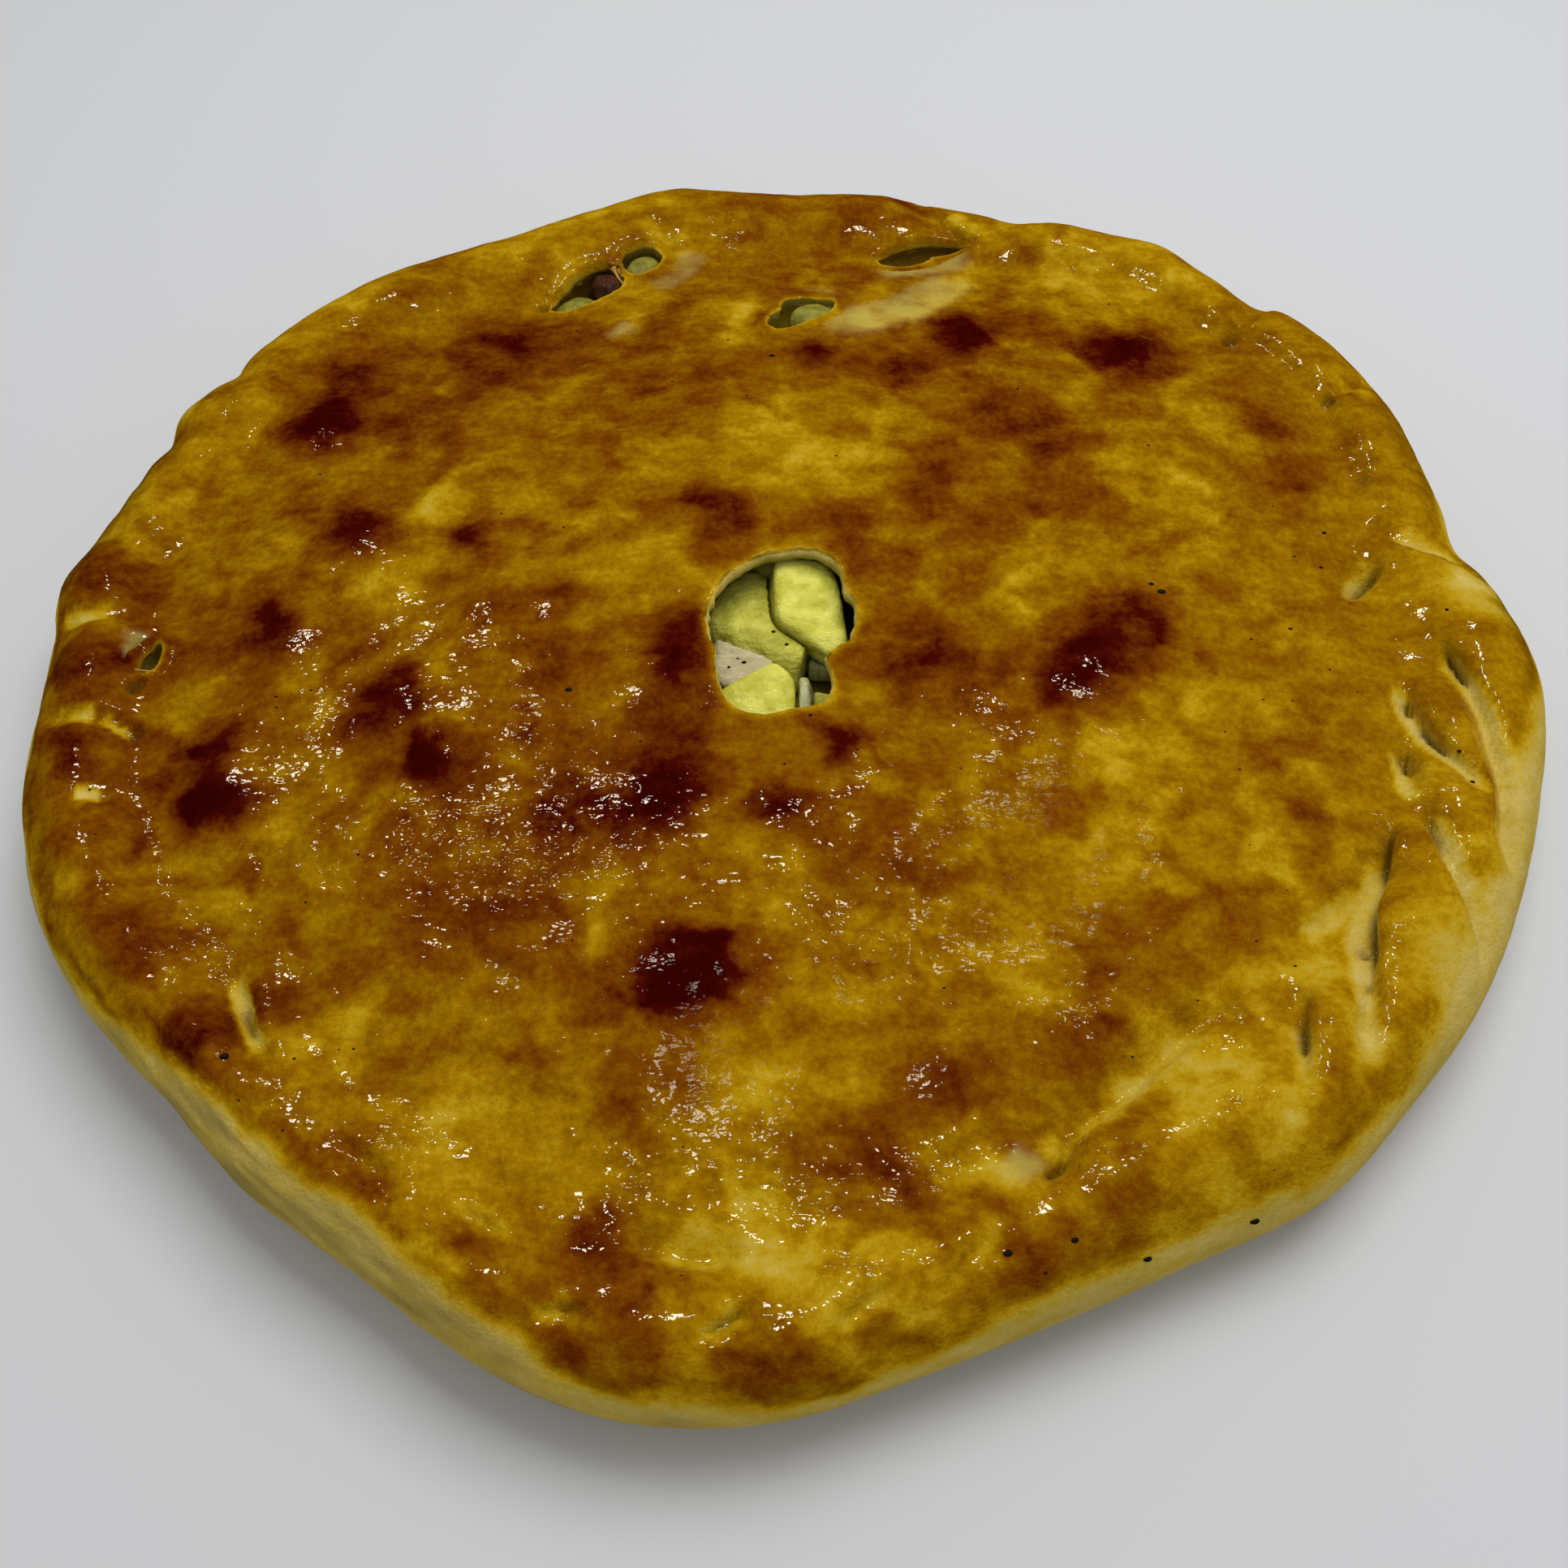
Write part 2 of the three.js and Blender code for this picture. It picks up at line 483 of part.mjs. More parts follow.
function tearPiece({ tear, middle, size }) {
  const shape = bareSphere(TEAR_PIECE_DETAIL).scale(...size).translate(...middle);
  const { at, along } = TEARS[tear];
  shape.applyMatrix4(skinFrame(at, along));
  return solidOf(shape).intersect(pocket(TEARS[tear], CLEARANCE));
}

// ---- materials and the model -------------------------------------------------------------------

const material = (color, roughness) => new THREE.MeshStandardMaterial({ color, roughness, metalness: 0 });
const crustFinish = material('#b07a1c', 0.3);
const potatoFinish = material('#d3cf4a', 0.35);
const chickenFinish = material('#cfc2a6', 0.45);
const onionFinish = material('#b9b67a', 0.25);
const meatFinish = material('#5a3418', 0.4);
const PIECE_FINISH = {
  chicken_piece: chickenFinish,
  onion_sliver: onionFinish,
  onion_layer: onionFinish,
  tear_onion: onionFinish,
  gap_onion: onionFinish,
  tear_meat: meatFinish,
};

const pie = new THREE.Group();

function addNode(name, solid, finish) {
  const mesh = new THREE.Mesh(geometryOf(solid), finish);
  mesh.name = name;
  pie.add(mesh);
}

let crust = solidOf(crustSkin());
for (const tear of Object.values(TEARS)) {
  crust = crust.subtract(pocket(tear));
}
for (const piece of Object.values(HOLE_PIECES)) {
  crust = crust.subtract(cutPiece(piece, CLEARANCE));     // the wall of the hollow is pressed round them
}
addNode('crust', crust, crustFinish);

const placed = [];
for (const [name, piece] of Object.entries(HOLE_PIECES)) {
  let solid = cutPiece(piece);
  for (const neighbour of placed) {
    solid = solid.subtract(cutPiece(neighbour, CLEARANCE));
  }
  placed.push(piece);
  addNode(name, solid, PIECE_FINISH[name] ?? potatoFinish);
}
for (const [name, piece] of Object.entries(TEAR_PIECES)) {
  addNode(name, tearPiece(piece), PIECE_FINISH[name] ?? potatoFinish);
}

export default pie;
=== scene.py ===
# %% [markdown]
# # A chicken flatbread pie
#
# This is a whole yeast-dough pie, about 300 mm across. The baker rolls out a round of dough,
# heaps potato, chicken and onion on it, lays a lid over them, gathers the edge into a rope of
# pinched pleats, opens a steam hole in the middle and brushes the top with egg. In the oven the
# glaze sets hard and shiny, steam lifts blisters that brown first, and the side that stands on
# the sheet stays pale and floury.
#
# Numbers in this lesson are millimetres, and only the last step of each piece turns them into
# Blender's metres. The faceted model of the pie is loaded first. It fixes the size and the place
# of everything, and each surface below takes the place of one of its pieces.

# %% Load the faceted model
import math

import bpy
import numpy as np
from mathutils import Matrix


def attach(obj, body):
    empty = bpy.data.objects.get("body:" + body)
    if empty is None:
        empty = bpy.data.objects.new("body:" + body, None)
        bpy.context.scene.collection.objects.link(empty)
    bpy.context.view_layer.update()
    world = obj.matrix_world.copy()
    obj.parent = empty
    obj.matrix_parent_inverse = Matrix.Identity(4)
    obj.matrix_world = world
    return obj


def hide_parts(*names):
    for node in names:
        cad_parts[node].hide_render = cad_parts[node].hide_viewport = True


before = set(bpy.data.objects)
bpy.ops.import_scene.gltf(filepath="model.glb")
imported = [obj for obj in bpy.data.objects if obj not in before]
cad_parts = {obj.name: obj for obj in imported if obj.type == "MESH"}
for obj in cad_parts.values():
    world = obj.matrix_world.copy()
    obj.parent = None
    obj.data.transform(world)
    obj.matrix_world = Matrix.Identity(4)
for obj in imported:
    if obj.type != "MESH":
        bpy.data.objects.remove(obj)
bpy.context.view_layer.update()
MM = 0.001
print("faceted pieces:", ", ".join(sorted(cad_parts)))

# %% [markdown]
# ## The camera
# The pie was seen from a standing person's view: a phone held about 360 mm away and tilted 55
# degrees down. Such a near view makes the front edge look large and the far edge small, so the
# lens and the distance have to be right together. The far edge, the near edge and the width of
# the outline fix all three.

# %% Place the camera
PITCH = 55.0                        # degrees below the horizon
EYE = (0.5, -212.1, 287.8)          # of the lens
LENS = 39.0                         # focal length for a 36 mm wide picture

camera_data = bpy.data.cameras.new("camera")
camera_data.lens = LENS
camera_data.sensor_width = 36.0
camera_data.clip_start = 0.01
camera = bpy.data.objects.new("camera", camera_data)
camera.location = [MM * c for c in EYE]
camera.rotation_euler = (math.radians(90 - PITCH), 0, 0)
bpy.context.scene.collection.objects.link(camera)
bpy.context.scene.camera = camera
print("camera", round(math.dist(EYE, (0, 0, 37))), "mm from the steam hole")

# %% [markdown]
# ## Soft noise
# Dough is never smooth: it has lumps, wrinkles and mottled colour at every size. All of that
# comes from one function that gives a smooth random height for any point. It draws a fixed
# number for each corner of a lattice and blends between the corners, for all points at once.

# %% Noise for whole arrays
WORD, HALF_WORD = 0xFFFFFFFF, 0xFFFF                # the draws are mixed as 32-bit numbers
AXIS_PRIMES = np.array([374761393, 668265263, 974634777])
MIXER = 1274126177                  # any large odd number scatters the bits


def corner_draw(corner, seed):
    """A fixed draw from 0 to 1 for each whole-numbered corner, by multiplying and folding bits."""
    mixed = (corner @ AXIS_PRIMES + seed * MIXER) & WORD
    mixed = ((mixed ^ (mixed >> 13)) * MIXER) & WORD
    return ((mixed ^ (mixed >> 16)) & HALF_WORD) / HALF_WORD


def noise(points, size, seed=0):
    """Smooth noise from -1 to 1. The eight draws round a point are blended by t * t * (3 - 2 t)."""
    cell = np.asarray(points, float) / size
    low = np.floor(cell).astype(np.int64)
    t = cell - low
    t = t * t * (3 - 2 * t)
    total = np.zeros(len(cell))
    for corner in np.ndindex(2, 2, 2):
        weight = np.prod(np.where(corner, t, 1 - t), axis=1)
        total += weight * corner_draw(low + np.array(corner), seed)
    return 2 * total - 1


def rough(points, size, seed=0, octaves=3):
    """Noise on noise: each finer layer is half the size and half the height of the one before."""
    layers = [noise(points, size / 2 ** k, seed + k) / 2 ** k for k in range(octaves)]
    return sum(layers) / 1.6


def flat(x, y):
    """Points of the rolled-out crust as rows of three, for the noise."""
    return np.stack([x, y, np.zeros_like(x)], axis=1)


def polar(x, y):
    """Azimuth in degrees and distance from the axis."""
    return np.degrees(np.arctan2(y, x)), np.hypot(x, y)


def ring(azimuth, radius, height=0.0):
    """Points round the axis as rows of three, from their azimuth, radius and height."""
    turn = np.radians(azimuth)
    return np.stack([radius * np.cos(turn), radius * np.sin(turn), height + 0 * turn], axis=1)


def smooth_step(value, low, high):
    """0 below low, 1 above high, and t * t * (3 - 2 t) between them."""
    t = np.clip((value - low) / (high - low), 0, 1)
    return t * t * (3 - 2 * t)


def bump(distance, width):
    """A smooth hill: exp(-(distance / width) squared)."""
    return np.exp(-(distance / width) ** 2)


print("noise at the origin:", round(float(noise([[0, 0, 0]], 10)[0]), 3))

# %% [markdown]
# ## The pie's section
# The hand-closed pie isn't round, so its widest radius is measured every 10 degrees, and the
# notches where two pleats meet are added on top. A closed Catmull-Rom curve runs through such
# numbers. Across the edge the section is a dome, a shallow valley at the seam, the rolled edge,
# a round side and a narrower flat base. A point is named by its azimuth and by its distance
# along the skin from the axis of the steam hole, as if the crust were rolled out flat.

# %% Outline and section
RIM_RADII = [                       # widest radius every 10 degrees, from +X round by +Y
    154.4, 153.0, 153.8, 161.2, 165.0, 163.0, 162.8, 157.4, 158.2, 157.2, 160.4, 158.0,
    157.0, 159.2, 158.2, 156.2, 152.6, 152.6, 148.9, 148.8, 147.2, 143.2, 138.4, 138.2,
    137.8, 142.0, 144.0, 141.6, 136.2, 133.6, 134.4, 138.2, 140.4, 143.6, 146.4, 149.8]
RIM_NOTCHES = [                     # azimuth, depth and half width in degrees (negative: a bulge)
    (14, 3.2, 3.4), (45.5, 2.6, 2.4), (55, -3.2, 3.4), (67, 2.2, 2.4), (100, -1.4, 4), (115, 1.4, 4),
    (145.5, 2.2, 1.8), (151, -1.4, 1.6), (154.5, 1.6, 1.8), (171, -1.6, 3), (313, -1.2, 6)]
SEAM_INSETS = [32, 23, 26, 32, 34, 25, 25, 24, 24, 24, 26, 28]      # rim to seam, every 30 degrees
SEAM_DEPTHS = [3.4, 2.8, 2.8, 3.2, 3.2, 2.2, 2.4, 1.8, 1.2, 1.4, 2.8, 3.4]
CREST_INSETS = [17, 17, 17, 17, 17, 16, 14, 12, 12, 13, 15, 17]     # rim to crest, every 30 degrees
WIDEST_HEIGHTS = [12.5, 12.5, 12.5, 12.5, 12.5, 13, 14, 17, 17, 15, 13, 12.5]
FOOT_INSETS = [12, 12, 12, 12, 12, 13, 16, 22, 22, 18, 14, 12]      # rim to the flat base
DOME_HEIGHT, DOME_FLATNESS, DOME_EASE = 37, 3, 1.3
CREST_HEIGHT = 29
SIDE_LENGTH = 26                    # along the skin from the crest down to the widest line
FOOT_LENGTH = 20                    # and from there to the flat base


def around(values, azimuth):
    """A closed smooth curve through evenly spaced values (Catmull-Rom)."""
    values = np.asarray(values, float)
    count = len(values)
    turn = np.mod(azimuth, 360.0) / 360 * count
    first = np.floor(turn).astype(int)
    f = turn - first
    a, b, c, d = (values[(first + k) % count] for k in (-1, 0, 1, 2))
    return b + 0.5 * f * (c - a + f * (2 * a - 5 * b + 4 * c - d + f * (3 * (b - c) + d - a)))


def rim_radius(azimuth):
    """The widest radius, less the notches, which are hills in azimuth."""
    radius = around(RIM_RADII, azimuth)
    for middle, depth, width in RIM_NOTCHES:
        radius = radius - depth * bump(np.mod(azimuth - middle + 540, 360) - 180, width)
    return radius


def seam_radius(azimuth):
    """Where the lid meets the rolled edge."""
    return rim_radius(azimuth) - around(SEAM_INSETS, azimuth)


def crest_radius(azimuth):
    """The top of the rolled edge."""
    return rim_radius(azimuth) - around(CREST_INSETS, azimuth)


def section(azimuth, skin):
    """Radius and height of the smooth section. The dome is (1 - (skin / seam) ^ 3) ^ 1.3, the climb
    from the seam to the crest a squared sine, and the side and the foot are quarter ellipses."""
    rim, seam, crest = rim_radius(azimuth), seam_radius(azimuth), crest_radius(azimuth)
    seam_height = CREST_HEIGHT - around(SEAM_DEPTHS, azimuth)
    widest = around(WIDEST_HEIGHTS, azimuth)
    foot = rim - around(FOOT_INSETS, azimuth)
    quarter = np.pi / 2
    dome = (1 - np.clip(skin / seam, 0, 1) ** DOME_FLATNESS) ** DOME_EASE
    climb = np.sin(quarter * np.clip((skin - seam) / (crest - seam), 0, 1)) ** 2
    down = quarter * np.clip((skin - crest) / SIDE_LENGTH, 0, 1)
    under = quarter * np.clip((skin - crest - SIDE_LENGTH) / FOOT_LENGTH, 0, 1)
    places = [skin < seam, skin < crest, skin < crest + SIDE_LENGTH]
    radius = np.select(places, [skin, skin, crest + (rim - crest) * np.sin(down)],
                       foot + (rim - foot) * np.cos(under))
    height = np.select(places, [
        seam_height + (DOME_HEIGHT - seam_height) * dome,
        seam_height + (CREST_HEIGHT - seam_height) * climb,
        widest + (CREST_HEIGHT - widest) * np.cos(down)], widest * (1 - np.sin(under)))
    return radius, height


whole_turn = np.arange(0, 360, 1.0)
print("rim radius from", rim_radius(whole_turn).min().round(1), "to", rim_radius(whole_turn).max().round(1))

# %% [markdown]
# ## Pleats, blisters and lumps
# The baker's fingers leave valleys between overlapping lobes of dough. Each valley is a path on
# the rolled-out crust with a gentle wall on one side and a steep one on the other, where a lobe
# lies over its neighbour. The steep wall also leans over the valley, which a height alone can't
# do, so the skin is shifted sideways there too. Blisters and lumps are round hills.

# %% Pleats and pinches
PLEATS = [                          # path, depth, width of the left and right wall, ease at the ends
    ([(122, 37), (129, 31), (137, 27), (146, 24)], 3.4, 7, 2.2, 0.2),
    ([(113, 16), (118, 21), (124, 28)], 3.4, 3.2, 2.2, 0.45),
    ([(129, 8), (131.5, 2), (134.5, -5), (136.5, -14), (137.5, -30), (136.5, -52)], 4.0, 1.9, 4.4, 0.2),
    ([(121.3, -3), (122.6, -10), (124, -16), (126.6, -22), (129, -27), (132.5, -35)], 3.2, 1.7, 3.4, 0.25),
    ([(117.5, -15), (118.9, -20), (118.7, -26), (117.8, -32)], 2.6, 1.7, 2.6, 0.3),
    ([(118.4, -33), (119.1, -40), (120, -47), (122.4, -55), (126, -64), (128, -70)], 2.6, 2.8, 1.6, 0.2),
    ([(114, -35), (111.5, -43), (109.4, -50), (106, -57), (103.7, -64), (102.6, -73), (99, -90)],
     3.8, 1.7, 4.0, 0.2),
    ([(108, -49), (101, -55), (95, -60), (90, -64)], 1.6, 2.0, 2.4, 0.35),
    ([(90, -70), (88.5, -82), (86, -95)], 2.6, 1.8, 3.2, 0.3),
    ([(48.5, -99), (46.6, -102), (44.6, -104.8), (40, -107)], 2.6, 3.0, 1.5, 0.35),
    ([(38, -107), (46, -101), (56, -93), (67, -84), (80, -74)], 3.0, 5, 2.2, 0.25),
    ([(101, 94), (110, 104), (117, 113)], 2.4, 4, 2.0, 0.25),
    ([(120, 73), (129, 80), (137, 86)], 2.0, 4, 2.0, 0.25),
    ([(122, 49), (134, 55), (142, 58)], 1.6, 4, 2.0, 0.25),
    ([(47, 127), (39, 136), (33, 152)], 2.8, 7, 2.2, 0.2),
    ([(-26, 127), (-31, 140)], 1.4, 2.2, 2.2, 0.3),
    ([(-97, 94), (-112, 105)], 1.2, 2.4, 4, 0.3),
    ([(-124, 24), (-136, 31), (-150, 38)], 1.2, 2.0, 4, 0.3),
    ([(-129, 12), (-150, 10)], 1.4, 2.0, 3.4, 0.3),
    ([(-122.5, -18), (-128, -14.5), (-135, -14), (-147, -14)], 1.9, 2.4, 1.8, 0.15),
    ([(-123, -32.5), (-132, -33.5)], 0.9, 1.6, 1.8, 0.4),
    ([(-121, -51), (-136, -53)], 0.8, 2, 2.6, 0.4),
    ([(-84, -90), (-90, -80), (-94, -72), (-97, -66)], 2.6, 4.0, 1.9, 0.3),
    ([(-60, -113), (-72, -104)], 1.2, 2.4, 4, 0.3),
    ([(-4, -118), (-13, -121), (-20, -119), (-27, -116)], 2.1, 2.2, 3.4, 0.3),
    ([(-41, -132), (-34, -129.5), (-28, -127)], 1.8, 1.5, 3.0, 0.4),
    ([(-14, -136), (-9, -131), (-4, -127)], 2.1, 1.4, 3.2, 0.4),
    ([(7, -135), (13, -129), (18, -124)], 1.7, 1.4, 2.6, 0.4),
    ([(-53, -111), (-48, -114), (-42, -117.5)], 1.7, 1.5, 2.6, 0.4),
    ([(24, -131), (29, -122), (36, -115)], 1.8, 1.8, 3.4, 0.4),
    ([(-76, -99), (-66, -104), (-60, -108)], 1.5, 1.6, 3.0, 0.4),
]
CRACKS = [                          # fine gaps at the bottom of a pleat: path, depth, half width
    ([(116.5, 17.5), (120, 21.5), (124, 27)], 2.2, 0.8),
    ([(131, 4.8), (132.4, 0.5), (133.6, -2.5), (135.2, -6)], 3.0, 0.75),
    ([(122.3, -7.5), (122.8, -12)], 1.9, 0.6),
    ([(123, -13), (124.4, -17.5), (127, -23)], 1.8, 0.6),
    ([(119.2, -19), (118.9, -22), (118.4, -26.5)], 2.8, 0.7),
    ([(119.3, -35), (119.1, -41), (119.9, -47.5)], 1.8, 0.6),
    ([(120.2, -50), (122.4, -55.5), (124.4, -59)], 1.1, 0.5),
    ([(113.5, -37.5), (111.2, -44), (109.4, -50.5)], 2.2, 0.8),
    ([(109.2, -51), (106, -57.5), (104, -62.5), (103.2, -70)], 1.8, 0.55),
    ([(88.9, -78), (88.1, -86.5)], 2.2, 0.8),
    ([(46.8, -101.4), (45.2, -104), (42, -106.4)], 2.0, 0.9),
    ([(-92.5, -75), (-88.5, -82)], 1.6, 0.8),
    ([(-35, -130), (-29, -127.4)], 0.9, 0.6),
    ([(-11.5, -133), (-8, -130.5), (-4.5, -128)], 1.3, 0.6),
    ([(-124.9, -2.6), (-126, -5.2), (-127.5, -8.2)], 2.2, 0.9),
]
PITS = [                            # x, y, radius, depth
    (103, 96, 1.8, 2.4), (121, 74, 1.6, 2.4), (124, 50, 1.4, 1.6), (102, -64, 1.1, 1.8),
    (102.6, -72.4, 1.0, 1.4), (-124.0, -17.2, 1.5, 2.2), (-33, 94, 2.2, 1.0), (-127.6, 4, 2.4, 1.3),
    (-48, -71, 1.6, 0.9), (-45, -73, 1.2, 0.6), (-56, 107.6, 1.2, 2.4), (-126.5, -33, 0.9, 0.8),
]
LEAN = 0.4                          # how far a steep wall leans over, as a share of the depth


def path_distance(x, y, path):
    """Signed distance to a path, positive on its left, the unit normal towards the left, and how
    far along the path the nearest point lies, from 0 to 1."""
    steps = [math.dist(a, b) for a, b in zip(path, path[1:])]
    nearest = np.full(x.shape, np.inf)
    side, along, across = np.ones_like(x), np.zeros_like(x), np.zeros(x.shape + (2,))
    passed = 0
    for (x0, y0), (x1, y1), length in zip(path, path[1:], steps):
        dx, dy = x1 - x0, y1 - y0
        t = np.clip(((x - x0) * dx + (y - y0) * dy) / length ** 2, 0, 1)
        distance = np.hypot(x - x0 - t * dx, y - y0 - t * dy)
        closer = distance < nearest
        nearest = np.where(closer, distance, nearest)
        side = np.where(closer, np.where(dx * (y - y0) - dy * (x - x0) < 0, -1, 1), side)
        along = np.where(closer, (passed + t * length) / sum(steps), along)
        across[closer] = (-dy / length, dx / length)
        passed += length
    return side * nearest, across, along


def eased(along, ease):
    """0 at both ends of a path and 1 between them."""
    return smooth_step(along, 0, ease) * smooth_step(1 - along, 0, ease)


def pleat_relief(x, y):
    """Height and sideways shift of the pleats. A valley is -depth * exp(-(d / width) ^ 2), with the
    width of the side that the point is on, and the top of the steep wall moves over it."""
    height, shift = np.zeros_like(x), np.zeros(x.shape + (2,))
    waver = 0.5 * noise(flat(x, y), 5, seed=16)
    for path, depth, left, right, ease in PLEATS:
        distance, across, along = path_distance(x, y, path)
        deep = depth * eased(along, ease)
        distance = distance + waver
        height -= deep * bump(distance, np.where(distance > 0, left, right))
        if abs(left - right) > 1:
            steep = 1 if left < right else -1
            narrow = min(left, right)
            move = LEAN * deep * bump(distance * steep - 1.5 * narrow, narrow)
            shift -= (steep * move)[:, None] * across
    for path, depth, width in CRACKS:
        distance, _, along = path_distance(x, y, path)
        height -= depth * eased(along, 0.35) * bump(distance + waver, width)
    for cx, cy, radius, depth in PITS:
        height -= depth * bump(np.hypot(x - cx, y - cy), radius)
    return height, shift


print(len(PLEATS), "pleats,", len(CRACKS), "cracks and", len(PITS), "pits")

# %% [markdown]
# Blisters rise where steam lifts the skin, and they brown first. The lobes are the full parts of
# the rolled edge between the pleats, and the lumps are filling felt through the lid. The lumps
# come from a seeded draw, so they are the same each time.

# %% Blisters, lobes and lumps
BLISTERS = [                        # x, y, radius, rise
    (-101, 65, 8.0, 1.7), (-95, 81, 6, 0.6), (-86, 29, 7, 1.1), (-98, 5, 6, 0.9), (-104, -34, 7, 1.1),
    (-106, -22, 6, 0.8), (-73, -12, 5, 0.8), (-62, -28, 5.5, 0.9), (-59, 83, 8, 0.9), (-57, 6, 5.5, 0.7),
    (-62, 25, 4.6, 0.7), (-44, 8, 3.6, 0.6), (-22, -37, 7.5, 1.3), (-20, -10, 6.6, 0.6), (0, -41, 5, 0.8),
    (13, -29, 5, 0.9), (25, -10, 6.5, 0.6), (-13, 32, 7, 0.7), (12, 30, 6, 0.6), (40, 96, 6.6, 1.0),
    (6, 81, 5, 0.9), (27, 79, 4.4, 0.6), (80, 88, 7.3, 1.2), (106, 67, 5.7, 0.7), (110, 47, 7, 0.7),
    (-16, -75, 6.6, 1.0), (59, -4, 8, 0.8), (72, 4, 8, 0.9), (27, -92, 4.6, 0.8), (52, -82, 6, 0.8),
    (-99, -83, 6, 1.1), (-88, -74, 5, 0.9), (-112, -64, 5, 0.8), (94, -39, 5, 0.8), (20, -107, 4, 0.6),
]
LOBES = [
    (134, 13, 11, 1.9), (143, 3, 9, 1.0), (127, -11, 6, 1.5), (130, -28, 7, 1.6), (121, -29, 4, 1.0),
    (127, -45, 7, 1.4), (114, -42, 5, 1.6), (111, -60, 8, 2.2), (108, -80, 8, 1.4), (93, -78, 7, 2.0),
    (91, -92, 8, 1.6), (73, -92, 9, 2.0), (57, -104, 9, 1.8), (118, 38, 8, 1.2), (112, 30, 5, 1.0),
    (128, 62, 9, 1.4), (114, 84, 9, 1.4), (90, 112, 10, 1.4), (62, 130, 10, 1.6), (20, 138, 11, 1.6),
    (-8, 136, 12, 1.2), (-55, 126, 10, 1.2), (-85, 110, 9, 1.2), (-118, 72, 10, 1.2),
    (-137, 22, 7, 0.8), (-137, -2, 7, 1.0), (-133, -24, 6, 0.8), (-128, -43, 8, 1.0),
    (-119, -66, 9, 1.0), (-102, -86, 8, 0.9), (-80, -108, 10, 0.8), (-54, -123, 8, 0.8),
    (-22, -129, 7, 1.0), (3, -138, 8, 0.8), (14, -122, 7, 0.8), (42, -122, 7, 0.9), (-2, -112, 6, -0.8),
]
FLAKY_SPOTS = [
    (-36, 29, 6, 1), (53, 55, 5, 0.8), (-42, 96, 12, 1), (-22, 97, 8, 0.8), (-84, -60, 4, 0.6),
    (-74, 33, 6, 0.7), (-77, 12, 6, 0.7), (-30, -117, 4, 1.3), (-64, 96, 6, 0.7)]
RING_BLISTER = (16.5, -68, 3.4, 0.8)
LUMP_COUNT, LUMP_REACH, LUMP_RISE, LUMP_SEED = 46, 112, 1.1, 5


def lump_table():
    """The lumps as rows of x, y, radius, rise. Each draw is the fraction of a large sine."""
    wave = np.sin(np.arange(4 * LUMP_COUNT) * 12.9898 + LUMP_SEED) * 43758.5453
    reach, angle, radius, rise = (wave - np.floor(wave)).reshape(-1, 4).T
    reach, angle = LUMP_REACH * np.sqrt(reach), 2 * np.pi * angle
    return np.stack([reach * np.cos(angle), reach * np.sin(angle), 7 + 6 * radius,
                     LUMP_RISE * (2 * rise - 1)], axis=1)


def hills(x, y, table):
    """Sum of round hills, each rise * exp(-(distance / radius) ^ 2)."""
    height = np.zeros_like(x)
    for cx, cy, radius, rise in table:
        height += rise * bump(np.hypot(x - cx, y - cy), radius)
    return height


lumps = lump_table()
print("lumps of filling:", len(lumps), "rising up to", lumps[:, 3].max().round(2), "mm")

# %% [markdown]
# ## The whole skin
# The fine skin adds ripples a few millimetres wide, flaky spots, and the wrinkles of the side
# that dried without glaze. A point moves square to the smooth section by its height. Down the
# side the relief dies away, so that the widest line and the base stay as measured.

# %% A point of the skin
SIDE_WRINKLE = 0.75
RIPPLE, FINE_RIPPLE = 0.30, 0.10
SLOPE_STEP = 0.5                    # along the section, to find which way is square to it
FLOURY = [.3, .25, .25, .25, .25, .35, .7, 1, 1, .6, .35, .3]    # flour on the side, every 30 degrees


def fine_relief(x, y, azimuth, skin):
    """Ripples of 10, 5 and 2.5 mm, flakes, and wrinkles that run round the unglazed side."""
    place = flat(x, y)
    height = RIPPLE * rough(place, 10, seed=11) + FINE_RIPPLE * noise(flat(x * 0.7, y), 2.6, seed=14)
    flakes = np.abs(noise(place, 2.8, seed=21)) + 0.5 * np.abs(noise(place, 5, seed=22))
    for cx, cy, radius, strength in FLAKY_SPOTS:
        height += 0.55 * strength * flakes * bump(np.hypot(x - cx, y - cy), radius)
    cx, cy, radius, rise = RING_BLISTER
    height += rise * bump(np.hypot(x - cx, y - cy) - radius, 0.9)
    side = smooth_step(skin - crest_radius(azimuth), 5, 12)
    wrinkles = -1.6 * np.abs(noise(flat(np.radians(azimuth) * 60, skin), 3.4, seed=31))
    return height + SIDE_WRINKLE * around(FLOURY, azimuth) * side * wrinkles


def skin_point(x, y):
    """Places for points of the rolled-out crust, as rows of x, y, z in mm."""
    pleats, shift = pleat_relief(x, y)
    azimuth, skin = polar(x, y)
    side_share = np.clip((skin - crest_radius(azimuth)) / SIDE_LENGTH, 0, 1)
    fade = 1 - side_share ** 2
    proud = pleats + hills(x, y, BLISTERS) + hills(x, y, LOBES) + hills(x, y, lumps)
    proud = fade * proud + (1 - 0.7 * side_share) * fine_relief(x, y, azimuth, skin)
    azimuth, skin = polar(x + fade * shift[:, 0], y + fade * shift[:, 1])
    radius, height = section(azimuth, skin)
    next_radius, next_height = section(azimuth, skin + SLOPE_STEP)
    slope = np.hypot(next_radius - radius, next_height - height)
    slope = np.where(slope > 1e-6, slope, 1)
    reach = radius + proud * (height - next_height) / slope
    height = height + proud * (next_radius - radius) / slope
    return ring(azimuth, reach, np.maximum(height, 0))


print("skin over the seam at the right:", skin_point(np.array([122.0]), np.array([0.0])).round(1))

